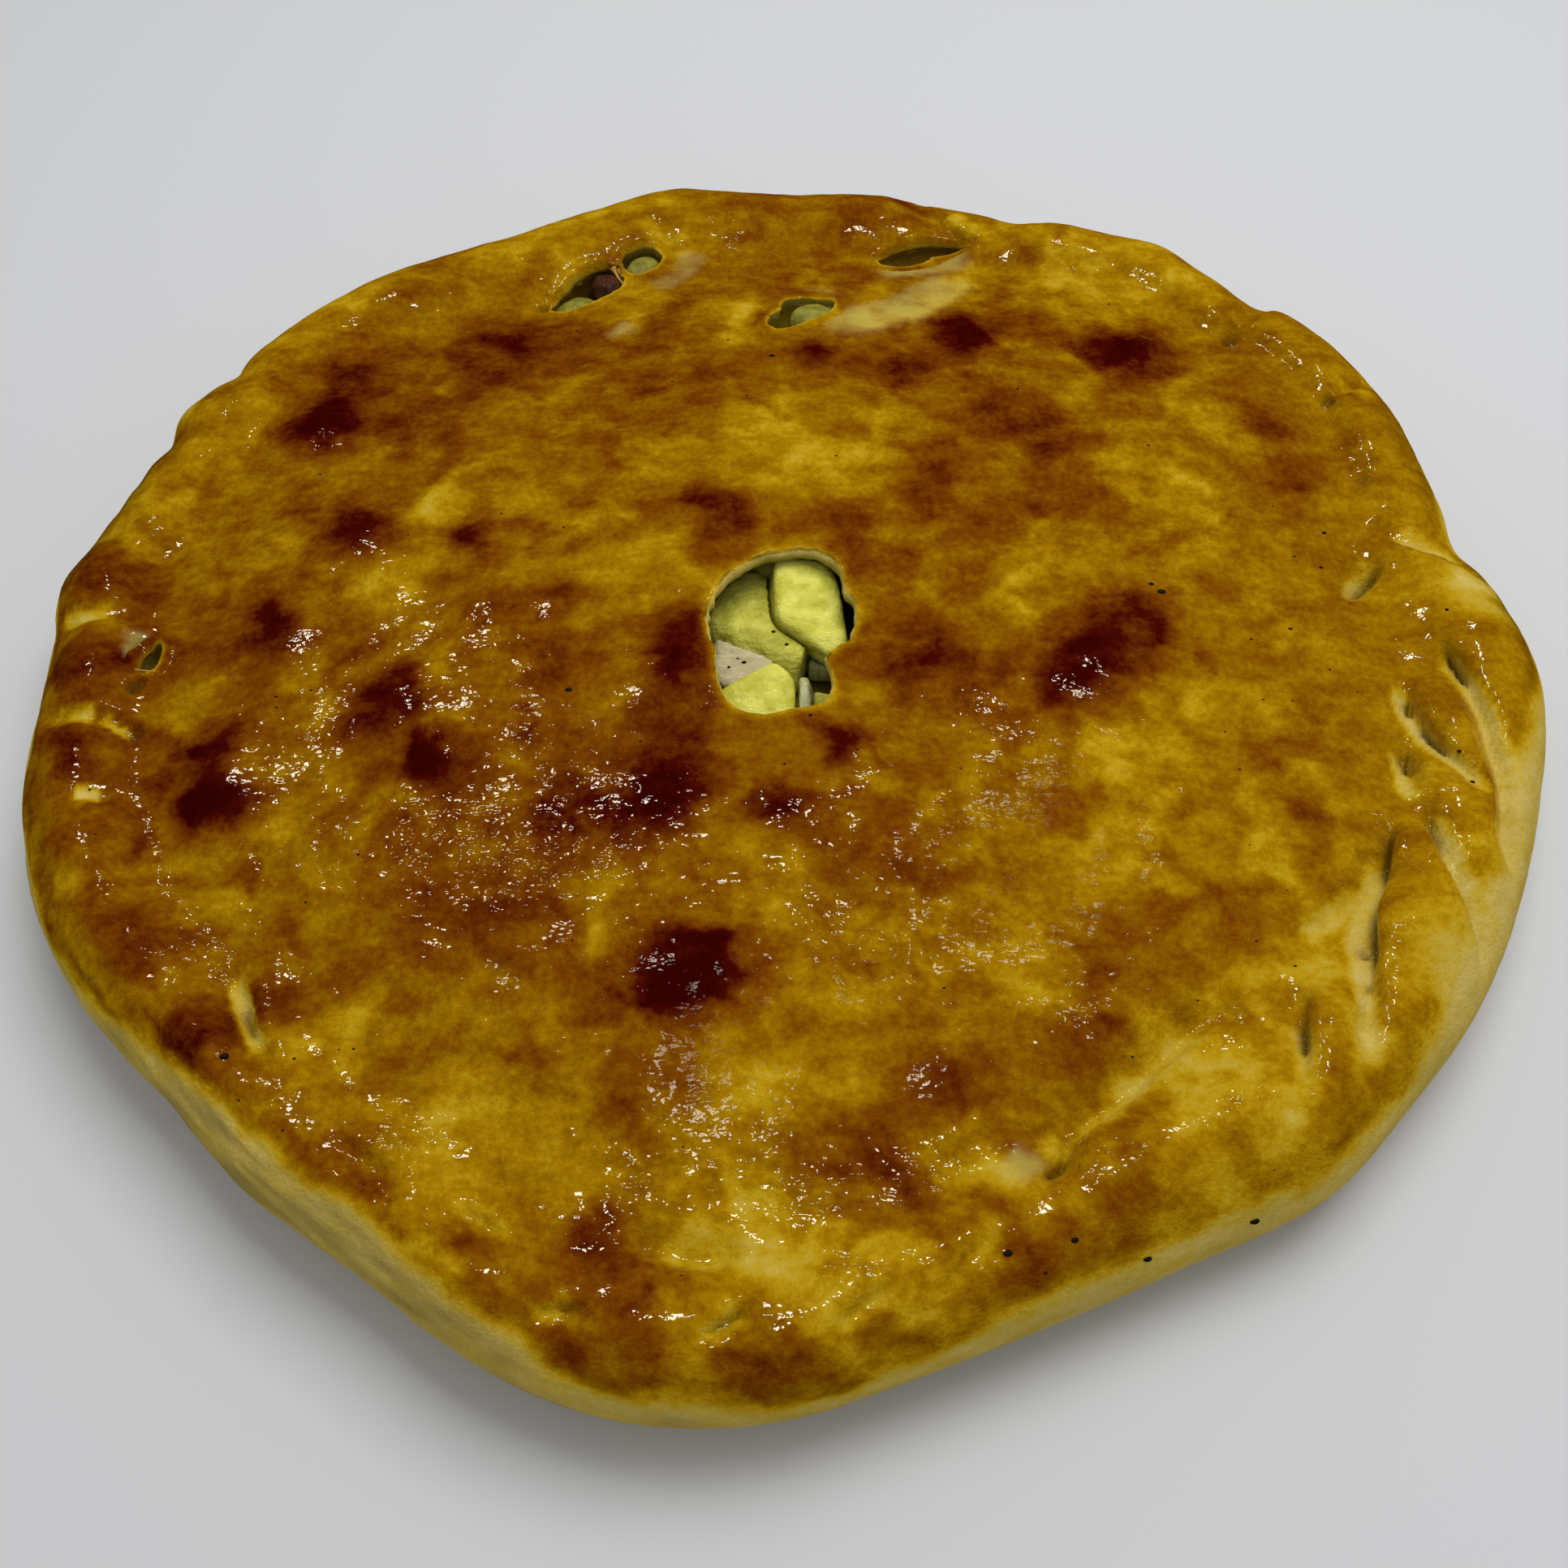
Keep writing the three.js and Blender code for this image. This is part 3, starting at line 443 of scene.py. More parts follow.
# %% [markdown]
# ## Tears
# At the far edge the dough has torn and shows the filling, and the side has one narrow slit. A
# tear is a hollow that is a little wider inside than at its mouth: an ellipsoid, cut by the skin
# above its middle. The crust's own mesh is too coarse for a ragged lip, so the skin inside each
# mouth is only pushed out of the way here, and a finer lining is laid over it further down.

# %% Tears and the frame they lie in
TEARS = {                           # place, direction of the long axis, half sizes, depth
    "back_left": ((-45.5, 113.8), 39, (11.5, 5.4), 10),
    "back_left_end": ((-33.6, 124.6), 40, (5.6, 4.4), 8),
    "back_middle": ((4.4, 101), 30, (9.6, 6.6), 9),
    "back_right": ((34.5, 126.5), 12, (12, 3.8), 6),
    "left_slit": ((-124.7, 1.3), 86, (4.6, 1.8), 6),
}
MOUTHS = {                          # how far the torn edge reaches every 30 degrees, from the long axis
    "back_left": [.92, 1.1, 1.12, .95, .8, .85, 1, 1.08, 1, .9, .95, .95],
    "back_left_end": [.95, 1.05, 1, .95, 1.05, .9, .95, 1, .95, .9, .95, 1],
    "back_middle": [1.05, .95, 1, 1.08, .76, .86, 1, 1.05, .78, .6, .66, .84],
    "back_right": [.98, .9, .9, 1, 1, 1, 1, 1.12, 1.05, .5, .25, .5],
    "left_slit": [.9, .8, .85, 1, 1.05, .8, .8, .8, .9, .9, 1, 1],
}
ROLL = {"back_left": 1, "back_left_end": 0.7, "back_middle": 0.2, "back_right": 1, "left_slit": 0.7}
POCKET_SINK = 0.3                   # share of the depth by which the ellipsoid's middle lies deeper
MOUTH_SHARE = math.sqrt(1 - (POCKET_SINK / (1 - POCKET_SINK)) ** 2)     # mouth over widest
MOUTH_ANGLE = math.acos(POCKET_SINK / (1 - POCKET_SINK))                # from the top, at the mouth
CLEARANCE = 1.1                     # between the lining and the crust's own mesh under it
LOWERED, LOWERED_WIDE = 2.7, 2.8    # and round a mouth: how deep, and how far out


def skin_frame(place, along):
    """Origin on the skin, then the directions along and across a tear and out of the skin."""
    turn, step = math.radians(along), 4.0
    ahead = (step * math.cos(turn), step * math.sin(turn))
    x = place[0] + np.array([0, ahead[0], -ahead[1]])
    y = place[1] + np.array([0, ahead[1], ahead[0]])
    origin, front, left = skin_point(x, y)
    along_axis = (front - origin) / np.linalg.norm(front - origin)
    out_axis = np.cross(along_axis, left - origin)
    out_axis /= np.linalg.norm(out_axis)
    return origin, np.stack([along_axis, np.cross(out_axis, along_axis), out_axis])


def mouth(tear, turn):
    """How far the torn edge reaches at each angle, as a share of the ellipse: a smooth curve
    through the tear's own numbers, with small nicks from the noise."""
    _, _, (half_long, half_wide), _ = TEARS[tear]
    edge = np.stack([half_long * np.cos(turn), half_wide * np.sin(turn), 0 * turn], axis=1)
    nicks = 0.05 * noise(edge, 2.4, seed=43) + 0.03 * noise(edge, 1.0, seed=44)
    return around(MOUTHS[tear], np.degrees(turn)) + nicks


def tear_share(x, y, tear):
    """0 in the middle of a tear and 1 at its mouth, the angle round the middle, how far the mouth
    reaches there, and the distance outside it in mm."""
    (cx, cy), along, (half_long, half_wide), _ = TEARS[tear]
    turn = math.radians(along)
    p = ((x - cx) * math.cos(turn) + (y - cy) * math.sin(turn)) / half_long
    q = ((y - cy) * math.cos(turn) - (x - cx) * math.sin(turn)) / half_wide
    turn = np.arctan2(q, p)
    reach = mouth(tear, turn)
    share = np.hypot(p, q) / MOUTH_SHARE
    wide = (share - reach) * MOUTH_SHARE * np.hypot(half_long * np.cos(turn), half_wide * np.sin(turn))
    return share / reach, turn, reach, wide


def hollow(down, turn, half_long, half_wide, depth):
    """A point of the ellipsoid in a tear's frame, by its angle from the top and round the middle."""
    return np.stack([half_long * np.sin(down) * np.cos(turn), half_wide * np.sin(down) * np.sin(turn),
                     depth * ((1 - POCKET_SINK) * np.cos(down) - POCKET_SINK)], axis=-1)


def sink_tears(x, y, points):
    """Moves the skin inside each mouth onto a hollow that is a little larger than the tear's own,
    and lowers it just outside, by an amount that falls to nothing over a few millimetres."""
    points = points.copy()
    for tear, (place, along, (half_long, half_wide), depth) in TEARS.items():
        near = np.hypot(x - place[0], y - place[1]) < 2 * half_long
        share, turn, reach, wide = tear_share(x[near], y[near], tear)
        origin, axes = skin_frame(place, along)
        down = MOUTH_ANGLE + (math.pi - MOUTH_ANGLE) * np.clip(1 - share, 0, 1)
        larger = hollow(down, turn, half_long * reach + CLEARANCE, half_wide * reach + CLEARANCE,
                        depth + CLEARANCE)
        lower = LOWERED * np.clip(1 - wide / LOWERED_WIDE, 0, 1)
        rim = points[near] - lower[:, None] * axes[2]
        points[near] = np.where((share < 1)[:, None], origin + (larger - [0, 0, LOWERED]) @ axes, rim)
    return points


print("tears:", ", ".join(TEARS))

# %% [markdown]
# ## The crust's mesh
# The crust is one closed surface of revolution in topology: rings round the axis, from the floor
# of the hollow under the steam hole, up its wall, along the underside of the lid to the lip, over
# the lid and the edge, and under to the base. Where a ring grows long its points double, so that
# faces stay about a millimetre wide, and the rings stand closer on the right, where the pleats
# are finest.

# %% Ring layout
FINE, MIDDLE, COARSE = 856, 428, 214
PLEATED_AZIMUTH, CROWDING = 335, 12
HOLE_RADII = [                      # steam hole, every 20 degrees
    13.4, 15.2, 16.2, 20.0, 20.2, 18.6, 17.0, 15.8, 14.8, 14.0, 12.9, 15.6, 19.6, 19.8,
    18.8, 18.2, 10.8, 11.4]
LID_THICKNESS, WELL_FLOOR, WELL_UNDERCUT = 3.2, 17, 7
LIP_SETBACK = 0.5                   # from the hole's outline to the first ring of skin


def ring_azimuths(count):
    """Evenly spread turns, drawn together on the pleated side by a sine."""
    even = np.arange(count) * 360.0 / count
    return even - CROWDING * np.sin(np.radians(even - PLEATED_AZIMUTH))


def hole_radius(azimuth):
    """The hole's outline, with a torn, nibbled edge."""
    edge = ring(azimuth, 16)
    nibbles = 0.6 * rough(edge, 4, seed=51) + 0.3 * np.abs(noise(edge, 1.3, seed=55))
    return around(HOLE_RADII, azimuth) + nibbles


def skin_rings():
    """Azimuth and skin distance of each ring from the lip outwards, as a list of pairs."""
    plan = [(COARSE, "lid", np.linspace(0, 0.32, 33)), (MIDDLE, "lid", np.linspace(0.33, 0.79, 46)),
            (FINE, "lid", np.linspace(0.799, 1, 24)), (FINE, "edge", np.linspace(0.07, 1, 14)),
            (FINE, "side", np.linspace(0.05, 1, 21)), (FINE, "foot", np.linspace(0.12, 1, 8))]
    rings = []
    for count, part, shares in plan:
        azimuth = ring_azimuths(count)
        hole = hole_radius(azimuth) + LIP_SETBACK
        seam, crest = seam_radius(azimuth), crest_radius(azimuth)
        start, length = {
            "lid": (hole, seam - hole), "edge": (seam, crest - seam),
            "side": (crest, SIDE_LENGTH + 0 * crest), "foot": (crest + SIDE_LENGTH, FOOT_LENGTH + 0 * crest),
        }[part]
        rings += [(azimuth, start + length * share) for share in shares]
    return rings


rings = skin_rings()
print(len(rings), "rings of skin,", sum(len(azimuth) for azimuth, _ in rings), "points")

# %% [markdown]
# Round the steam hole the lid is about 3 mm of dough with a rounded, pale cut edge. Below it the
# hollow is wider than the hole, which leaves the dark gap between the lid and the filling.

# %% The hollow under the steam hole
LIP_STEPS = 7
WALL_WOBBLE = 0.35


def well_rings():
    """Rings of points from the floor's middle to the lip. The lip is half an ellipse between the
    lid's underside and its top, and the wall is uneven."""
    azimuth = ring_azimuths(COARSE)
    hole = hole_radius(azimuth)
    outwards = ring(azimuth, 1)
    edge_x, edge_y, _ = ring(azimuth, hole + LIP_SETBACK).T
    top = skin_point(edge_x, edge_y)[:, 2]
    floor_wide = hole + WELL_UNDERCUT
    profile = [(floor_wide * share, WELL_FLOOR + 0 * hole) for share in (0.3, 0.55, 0.8, 0.97)]
    profile += [(floor_wide, WELL_FLOOR + (top - LID_THICKNESS - 2 - WELL_FLOOR) * share)
                for share in (0.12, 0.35, 0.6, 0.85, 1)]
    profile += [(hole + WELL_UNDERCUT * share, top - LID_THICKNESS - 0.3 * share)
                for share in (0.8, 0.6, 0.4, 0.22)]
    lip = np.linspace(0, np.pi, LIP_STEPS + 2)[:-1]
    profile += [(hole + 0.9 - 0.9 * math.sin(a), top - LID_THICKNESS * (0.5 + 0.5 * math.cos(a)))
                for a in lip]
    made = []
    for radius, height in profile:
        points = ring(azimuth, radius, height)
        wobble = WALL_WOBBLE * (rough(points, 5, seed=61) + noise(points, 1.7, seed=64))
        made.append(points + wobble[:, None] * outwards)
    return made


well = well_rings()
print(len(well), "rings in the hollow and round the lip")

# %% [markdown]
# All rings go into one mesh. Between two rings of equal length there is one four-sided face for
# each step, and where the count doubles each step has a fan of three triangles. The two ends are
# closed by fans round one point.

# %% Join the rings into the crust


def join_rings(counts):
    """Faces between rings of points that are numbered one after another, with a pole at each end
    of the numbering. Equal rings give quads and doubled ones triangles, as whole arrays."""
    starts = 1 + np.concatenate([[0], np.cumsum(counts)])
    quads, triangles = [], []
    for count, after, start, end in zip(counts, counts[1:], starts, starts[1:]):
        if count == after:
            i = np.arange(count)
            j = (i + 1) % count
            quads.append(np.stack([start + i, end + i, end + j, start + j], axis=1))
            continue
        few, many = min(count, after), max(count, after)
        i = np.arange(few)
        j = (i + 1) % few
        a, b, c = 2 * i, 2 * i + 1, (2 * i + 2) % many
        small, big = (start, end) if count < after else (end, start)
        fan = np.concatenate([
            np.stack([small + i, big + a, big + b], axis=1),
            np.stack([small + i, big + b, small + j], axis=1),
            np.stack([small + j, big + b, big + c], axis=1)])
        triangles.append(fan if count < after else fan[:, ::-1])
    first, last = np.arange(counts[0]), np.arange(counts[-1])
    triangles.append(np.stack([0 * first, starts[0] + first, starts[0] + (first + 1) % counts[0]], axis=1))
    pole, start = starts[-1], starts[-2]
    triangles.append(np.stack([pole + 0 * last, start + (last + 1) % counts[-1], start + last], axis=1))
    return np.concatenate(quads), np.concatenate(triangles)


def repeated(quads, triangles, copies, step):
    """The same faces for each copy of a piece that has step points."""
    offsets = (np.arange(copies) * step)[:, None, None]
    return (quads + offsets).reshape(-1, 4), (triangles + offsets).reshape(-1, 3)


def new_mesh(name, points, quads, triangles, attributes=None):
    """A smooth-shaded object from arrays of points in mm, faces, and named values at the points."""
    mesh = bpy.data.meshes.new(name)
    sizes = np.concatenate([np.full(len(quads), 4), np.full(len(triangles), 3)])
    corners = np.concatenate([np.ravel(quads), np.ravel(triangles)]).astype(np.int32)
    mesh.vertices.add(len(points))
    mesh.vertices.foreach_set("co", np.ravel(points * MM).astype(np.float32))
    mesh.loops.add(len(corners))
    mesh.loops.foreach_set("vertex_index", corners)
    mesh.polygons.add(len(sizes))
    mesh.polygons.foreach_set("loop_start", (np.cumsum(sizes) - sizes).astype(np.int32))
    mesh.update(calc_edges=True)
    mesh.validate()
    mesh.shade_smooth()
    for key, values in (attributes or {}).items():
        layer = mesh.attributes.new(key, "FLOAT", "POINT")
        layer.data.foreach_set("value", np.asarray(values, np.float32))
    piece = bpy.data.objects.new(name, mesh)
    bpy.context.scene.collection.objects.link(piece)
    return piece


def base_ring(count, share):
    """A ring on the flat base, at a share of its radius."""
    azimuth = ring_azimuths(count)
    return ring(azimuth, share * (rim_radius(azimuth) - around(FOOT_INSETS, azimuth)))


azimuths =np.concatenate([azimuth for azimuth, _ in rings])
skins = np.concatenate([skin for _, skin in rings])
skin_x = skins * np.cos(np.radians(azimuths))
skin_y = skins * np.sin(np.radians(azimuths))
skin_points = sink_tears(skin_x, skin_y, skin_point(skin_x, skin_y))
base_rings = [base_ring(MIDDLE, 0.97)] + [base_ring(COARSE, share) for share in (0.92, 0.6, 0.3)]
crust_points = np.concatenate([[[0, 0, WELL_FLOOR]], *well, skin_points, *base_rings, [[0, 0, 0]]])
ring_counts = [len(r) for r in well] + [len(a) for a, _ in rings] + [len(r) for r in base_rings]
crust_quads, crust_triangles = join_rings(ring_counts)
print("crust:", len(crust_points), "points,", 2 * len(crust_quads) + len(crust_triangles), "triangles")

# %% [markdown]
# ## How the oven coloured it
# Browning is one number for each point: 0 is pale dough, 0.45 golden and 1 nearly black. It
# starts from a mottled gold, rises on the blisters and on the full parts of the edge, and falls
# in the pleats, where no heat and no egg came. Five more numbers say where there is glaze, how
# beaded it is, where there is flour, where steamed or damp dough lies by an opening with painted
# shade deepening into it, and where painted shade darkens a crack. They are stored on the mesh,
# and the material reads them.

# %% Browning
DARK_SPOTS = [                      # x, y, radius, strength
    (-101, 66, 8.5, 1), (-97, 83, 6, .5), (-86, 30, 7.5, .9), (-98, 6, 6, .75), (-104, 10, 4.5, .45),
    (-105, -35, 7.2, 1), (-106, -22, 6.2, .7), (-97, -52, 4, .45), (-74, -12, 5.4, .75),
    (-64, -28, 6, .75), (-60, 85, 8.5, .36), (-62, 96, 6, .3), (-57, 7, 5.6, .5), (-63, 26, 5, .55),
    (-44, 8, 3.7, .6), (-22, -37, 7.8, 1), (-20, -10, 7.4, .75), (-19, 0, 4.6, .5), (0, -39, 5.4, .7),
    (12, -28, 5.6, .75), (26, -8, 7.8, .65), (-13, 31, 7.2, .7), (13, 28, 6.4, .5), (-14, 75, 7, .35),
    (40, 95, 7, .62), (43, 88, 4, .5), (7, 82, 6, .7), (27, 78, 5, .55), (78, 87, 8.4, .9),
    (105, 66, 5.6, .5), (111, 49, 7, .5), (30, 45, 6.6, .4), (56, 55, 5.2, .35), (15, 56, 4, .35),
    (-16, -73, 6.4, 1), (-10, -70, 3.6, .5), (-22, -79, 4, .5), (59, -6, 8.6, .68), (71, 3, 8.4, .66),
    (52, -14, 4.6, .5), (27, -91, 6, .6), (15, -103, 5, .45), (52, -82, 6, .6), (51, -70, 6, .35),
    (-100, -82, 7, .85), (-88, -74, 4.7, .45), (-112, -65, 6, .55), (94, -36, 6, .5), (14, -55, 6, .35),
    (-137, 22, 6, .3), (-135, -1, 7, .35), (-134, -24, 6, .3), (-125, -43, 8, .35), (-120, -59, 6, .3),
    (-66, -110, 5.2, .35), (-50, -122, 6, .35), (-20, -128, 6.6, .25), (-26, -122, 4.6, .22),
    (3, -138, 7.4, .2), (-32, -137, 6, .2), (42, -122, 5, .4), (60, -104, 6, .35), (55, -114, 4, .4),
    (-30, -117, 3.2, .5), (-23, -94, 7.9, .3), (-38, -42, 9, .3), (-47, -20, 9, .25), (127, -9, 5, .15),
    (-82, 62, 8, .25), (-42, 50, 10, .2), (-30, 70, 7, .22), (10, 10, 20, .12), (-60, 5, 34, .1),
    (-52, -52, 13, .3), (100, 45, 12, .2),
]
PALE_SPOTS = [                      # x, y, radius, strength
    (62, -29, 8, .6), (59, -43, 7, .5), (79, -18, 7.6, .45), (72, -30, 8, .4), (-71, 35, 4.2, .8),
    (-77, 11, 5.6, .55), (-37, 29, 4.1, .7), (-31, -68, 3, .9), (-58, -48, 5.8, .4), (-100, -50, 6.5, .5),
    (-55, -100, 7, .5), (-40, 85, 5.4, .4), (-10, 101, 4.2, .8), (-10, 92, 4, .6), (16, -66, 6, .4),
    (5, -77, 5, .4), (116, 43, 6, .7), (70, 118, 6, .5), (-41, -112, 7, .4), (-4, -120, 7.5, .5),
    (16, -118, 5, .4), (37, -106, 3.6, 1.3), (68, -86, 6, .5), (92, -69, 4.9, .5), (99, -82, 4.5, 1.2),
    (85, -93, 4, .8), (138, 16, 5.5, 1.1), (145, 11, 5, .8), (-2, -90, 9, .35), (-31, -61, 7, .35),
    (-48, -88, 8, .35), (23, 49, 7, .3), (-23, 49, 7, .3), (-35, 96, 3.4, .7), (-60, -126, 6, .5),
    (54, -49, 8, .3), (118, -66, 6, .9), (124, -60, 5, .8), (0, 62, 9, .3), (-68, -98, 6, .35),
    (100, 20, 14, .2), (85, 35, 16, .2), (128, -28, 18, .3), (110, -70, 14, .45), (130, 20, 10, .4),
    (140, -5, 9, .3), (72, -100, 14, .2), (140, 45, 12, .25), (-139, 8, 8, .3), (-137, -34, 8, .3),
    (-10, -113, 6, .35), (30, -105, 6, .35), (-60, -108, 6, .3), (-35, -100, 7, .3), (90, 0, 30, .12),
]
CRISP_STREAKS = [                   # bare dough along a pleat, with sharp sides: path, half width, strength
    ([(129.5, 6), (132, 0), (134.4, -6), (136.6, -13), (137.6, -22), (138.4, -32), (138, -45), (136, -56)],
     2.2, 1),
    ([(142, -14), (144, -24), (144, -36), (141, -48), (134, -60), (126, -68), (121, -75)], 4.4, 1),
    ([(120.6, -3), (121, -9), (122.2, -15), (124.6, -20.5), (127.5, -25), (131, -30.5), (133, -33)], 1.5, 1),
    ([(117.6, -18.5), (117.4, -24), (117, -30), (118.4, -34.5)], 1.1, 0.9),
    ([(119.6, -35), (120.8, -42), (122, -49), (124.2, -56), (128, -66)], 1.5, 1),
    ([(111.5, -42), (108.3, -49), (105, -56), (102.2, -62), (101, -70), (100.5, -80), (99, -90)], 2.2, 0.95),
    ([(107, -50), (101, -55), (95, -60), (92, -64)], 2.0, 0.6), ([(88.8, -79), (88, -90)], 1.6, 0.7),
    ([(-131, -14.2), (-124.5, -17.5)], 1.0, 0.8), ([(-131.5, -33), (-126, -32.5)], 1.5, 1),
    ([(-95, -69), (-91.5, -77), (-87, -85)], 1.7, 0.95),
]
SOFT_STREAKS = [                    # the same with frayed sides
    ([(127.5, 35), (132, 32), (138, 30), (143, 26)], 2.6, 1), ([(115.5, 17), (119, 22), (123, 27)], 2.0, 0.9),
    ([(135, 20.5), (141, 19), (149, 19)], 2.6, 0.9), ([(-149, 12), (-140, 11.5), (-133, 12)], 1.8, 0.9),
    ([(-144, -14), (-131, -14)], 1.3, 0.9), ([(-135, -54), (-124, -51.5)], 1.5, 0.45),
    ([(39, -107), (46, -101), (54, -96), (63, -88), (73, -80)], 2.2, 0.75), ([(41, 140), (48, 131)], 2, 0.7),
    ([(-138, 76), (-130, 72)], 1.6, 0.6), ([(9, 95), (22, 98), (31, 102), (39, 110), (45, 121)], 3.0, 0.75),
    ([(-11, 93), (-10, 99), (-7.5, 105)], 1.5, 0.5), ([(2, 112), (5, 116), (9, 121)], 1.4, 0.4),
    ([(-39, -131.5), (-31, -128)], 2.0, 0.6),
    ([(-13, -134), (-6, -128)], 2.2, 0.6), ([(8, -134), (17, -125)], 1.8, 0.4),
    ([(-21, -119), (-8, -120), (4, -122)], 2.4, 0.55), ([(-54, -110), (-47, -114), (-41, -118)], 1.7, 0.45),
    ([(21, -131), (29, -121), (36, -113)], 2.4, 0.5), ([(-63, -121), (-48, -126)], 2.6, 0.6),
    ([(123, 82), (132, 74)], 1.6, 0.4), ([(56, 132), (66, 122)], 2, 0.4),
]
DAMP_STREAKS = [                    # thin dough that steamed beside an opening, olive and translucent
    ([(8, 95), (20, 98.5), (29, 103), (36, 110), (42, 119)], 4.0, 0.9),
    ([(22, 119), (34, 121.5), (46, 124.5)], 2.0, 0.9), ([(1, 107.5), (8, 108.5), (14, 105)], 2.0, 0.8),
    ([(-30, 112), (-24, 119), (-20, 128)], 2.2, 0.5), ([(-128.5, 0), (-128, 8)], 1.3, 0.8),
    ([(36, -103.5), (41, -107)], 2.4, 0.8), ([(-40, 92), (-34, 98)], 1.6, 0.5),
]
MATT_PATCHES = [                    # where the glaze soaked in: x, y, radius, share of the glaze lost
    (-8, -84, 20, .97), (16, -84, 14, .6), (44, -54, 28, .97), (64, -28, 18, .6), (-40, -75, 14, .5),
    (-40, -20, 16, .4), (30, 40, 40, .3), (95, -5, 18, .5),
]
SHINY_PATCHES = [                   # where the glaze is beaded: x, y, half size along x and y, strength
    (-70, -48, 38, 9, .5), (-45, -53, 22, 6, .4), (-85, -15, 22, 14, .3), (-85, 20, 10, 8, .3),
    (6, -30, 20, 10, .2), (3, -109, 12, 6, .6), (30, -105, 9, 8, .55), (12, -122, 6, 4, .6),
    (23, -125, 5, 4, .6), (54, -102, 6, 8, .6), (75, -94, 7, 6, .6), (-25, -110, 6, 5, .6),
    (-60, -100, 7, 5, .8), (-100, -67, 8, 6, .7), (-108, -62, 6, 6, .5), (-98, 60, 4, 4, .8),
    (-12, 131, 4, 4, 1), (-3, 124, 6, 4, .9), (-35, 108, 5, 5, .7), (17, 105, 5, 5, .6), (33, 121, 3, 3, .8),
    (32, 107, 3, 5, .8), (-3, 65, 6, 6, .5), (115, 45, 4, 8, .7), (108, -38, 5, 5, .7), (112, -62, 5, 6, .7),
    (60, 70, 20, 16, .35), (85, 80, 10, 12, .4), (-18, -40, 6, 6, .6), (62, -80, 20, 8, .4),
]
BROWN_EDGES = [                     # from the crest down to where the glaze ends, every 10 degrees
    13, 15, 15, 16, 16, 16, 16, 16, 16, 16, 16, 16, 16, 16, 16, 16, 16, 16,
    16, 17, 17, 17, 12.5, 7, 8.5, 10.5, 16, 21, 19, 16, 16, 16, 15, 9.5, 9, 9.5]
BASE_BROWN = 0.51
MOTTLE = [(0.12, 38, 71), (0.18, 16, 74), (0.15, 5, 78)]            # strength, size, seed
DRIP = [(57, -12), (54.8, -19), (51.7, -30), (49.4, -42)]           # egg that ran down from a blister
TURNED = np.array([[0.8, 0.6, 0], [-0.6, 0.8, 0], [0, 0, 1]])       # so no streak follows the lattice


def spots(x, y, table, power, spread):
    """Sum of soft-edged spots, each strength * exp(-(distance / (spread * radius)) ^ power)."""
    total = np.zeros_like(x)
    for cx, cy, radius, strength in table:
        total += strength * np.exp(-(np.hypot(x - cx, y - cy) / (spread * radius)) ** power)
    return total


def streaks(x, y, table, frayed=1.0):
    """How much of a streak covers each point. The sides fade over a width that grows with the
    fraying, and the ends fade too."""
    covered = np.zeros_like(x)
    place = flat(x, y)
    fray = 1.1 * rough(place, 6, seed=86) + 0.5 * noise(place, 1.6, seed=89)
    for path, width, strength in table:
        distance, _, along = path_distance(x, y, path)
        distance = np.abs(distance + frayed * fray) + 0.5 * frayed * fray
        edge = smooth_step(distance, (1.25 + 0.55 * frayed) * width + 0.3, (0.75 - 0.4 * frayed) * width)
        covered = np.maximum(covered, strength * eased(along + 0.03 * fray, 0.2) * edge)
    return covered * np.clip(1 - 0.5 * frayed * (noise(place, 3.6, seed=93) + 0.4), 0, 1)


def ripples(x, y):
    """How beaded the glaze is, from 0 to 1: a little everywhere, and most in its patches."""
    beaded = 0.14 + 0.08 * smooth_step(-y, 0, 60)
    for cx, cy, half_x, half_y, strength in SHINY_PATCHES:
        beaded += 0.7 * strength * np.exp(-((x - cx) / half_x) ** 2 - ((y - cy) / half_y) ** 2)
    return np.clip(beaded, 0, 1)


def painted_crack_shade(x, y):
    """Painted shade in the cracks and pits: the colour darkens where their depth casts shade."""
    dark = np.zeros_like(x)
    for path, depth, width in CRACKS:
        distance, _, along = path_distance(x, y, path)
        dark = np.maximum(dark, min(depth / 2.0, 1) * eased(along, 0.3) * bump(distance, width * 1.3))
    for cx, cy, radius, depth in PITS:
        dark = np.maximum(dark, min(depth / 2.0, 1) * bump(np.hypot(x - cx, y - cy), radius * 0.8))
    return dark


def browning(x, y, azimuth, skin):
    """The browning of the skin, from 0 to 1, and how far it lies below the glaze's edge."""
    place = flat(x, y)
    fray = rough(place, 9, seed=81)
    fray_y = rough(place, 7, seed=84)
    warped = place @ TURNED + 5 * np.stack([fray, fray_y, 0 * fray], axis=1)
    mottle = sum(strength * rough(warped, size, seed) for strength, size, seed in MOTTLE)
    brown = BASE_BROWN + mottle * (1 - 0.6 * smooth_step(x, 96, 116))
    feather = 1.6 * rough(place, 3.4, seed=95)
    brown += 0.36 * spots(x + 3 * fray + feather, y + 3 * fray_y - feather, DARK_SPOTS, 2.6, 1.0)
    brown += 0.16 * spots(x + 4 * fray_y, y + 4 * fray, DARK_SPOTS, 2.0, 1.8)
    brown -= 0.24 * spots(x + 3 * fray, y - 3 * fray_y, PALE_SPOTS, 2.2, 1.1)
    drip, _, along = path_distance(x + fray, y, DRIP)
    brown += 0.12 * eased(along, 0.3) * bump(drip, 1.6)
    below = skin - crest_radius(azimuth) - around(BROWN_EDGES, azimuth) + 2.6 * fray
    pale = np.maximum(streaks(x, y, CRISP_STREAKS, 0.25), streaks(x, y, SOFT_STREAKS))
    pale = np.maximum(pale, smooth_step(below, -3, 4.5))
    return np.clip(brown, 0.08, 1) * (1 - pale) + 0.06 * pale, below


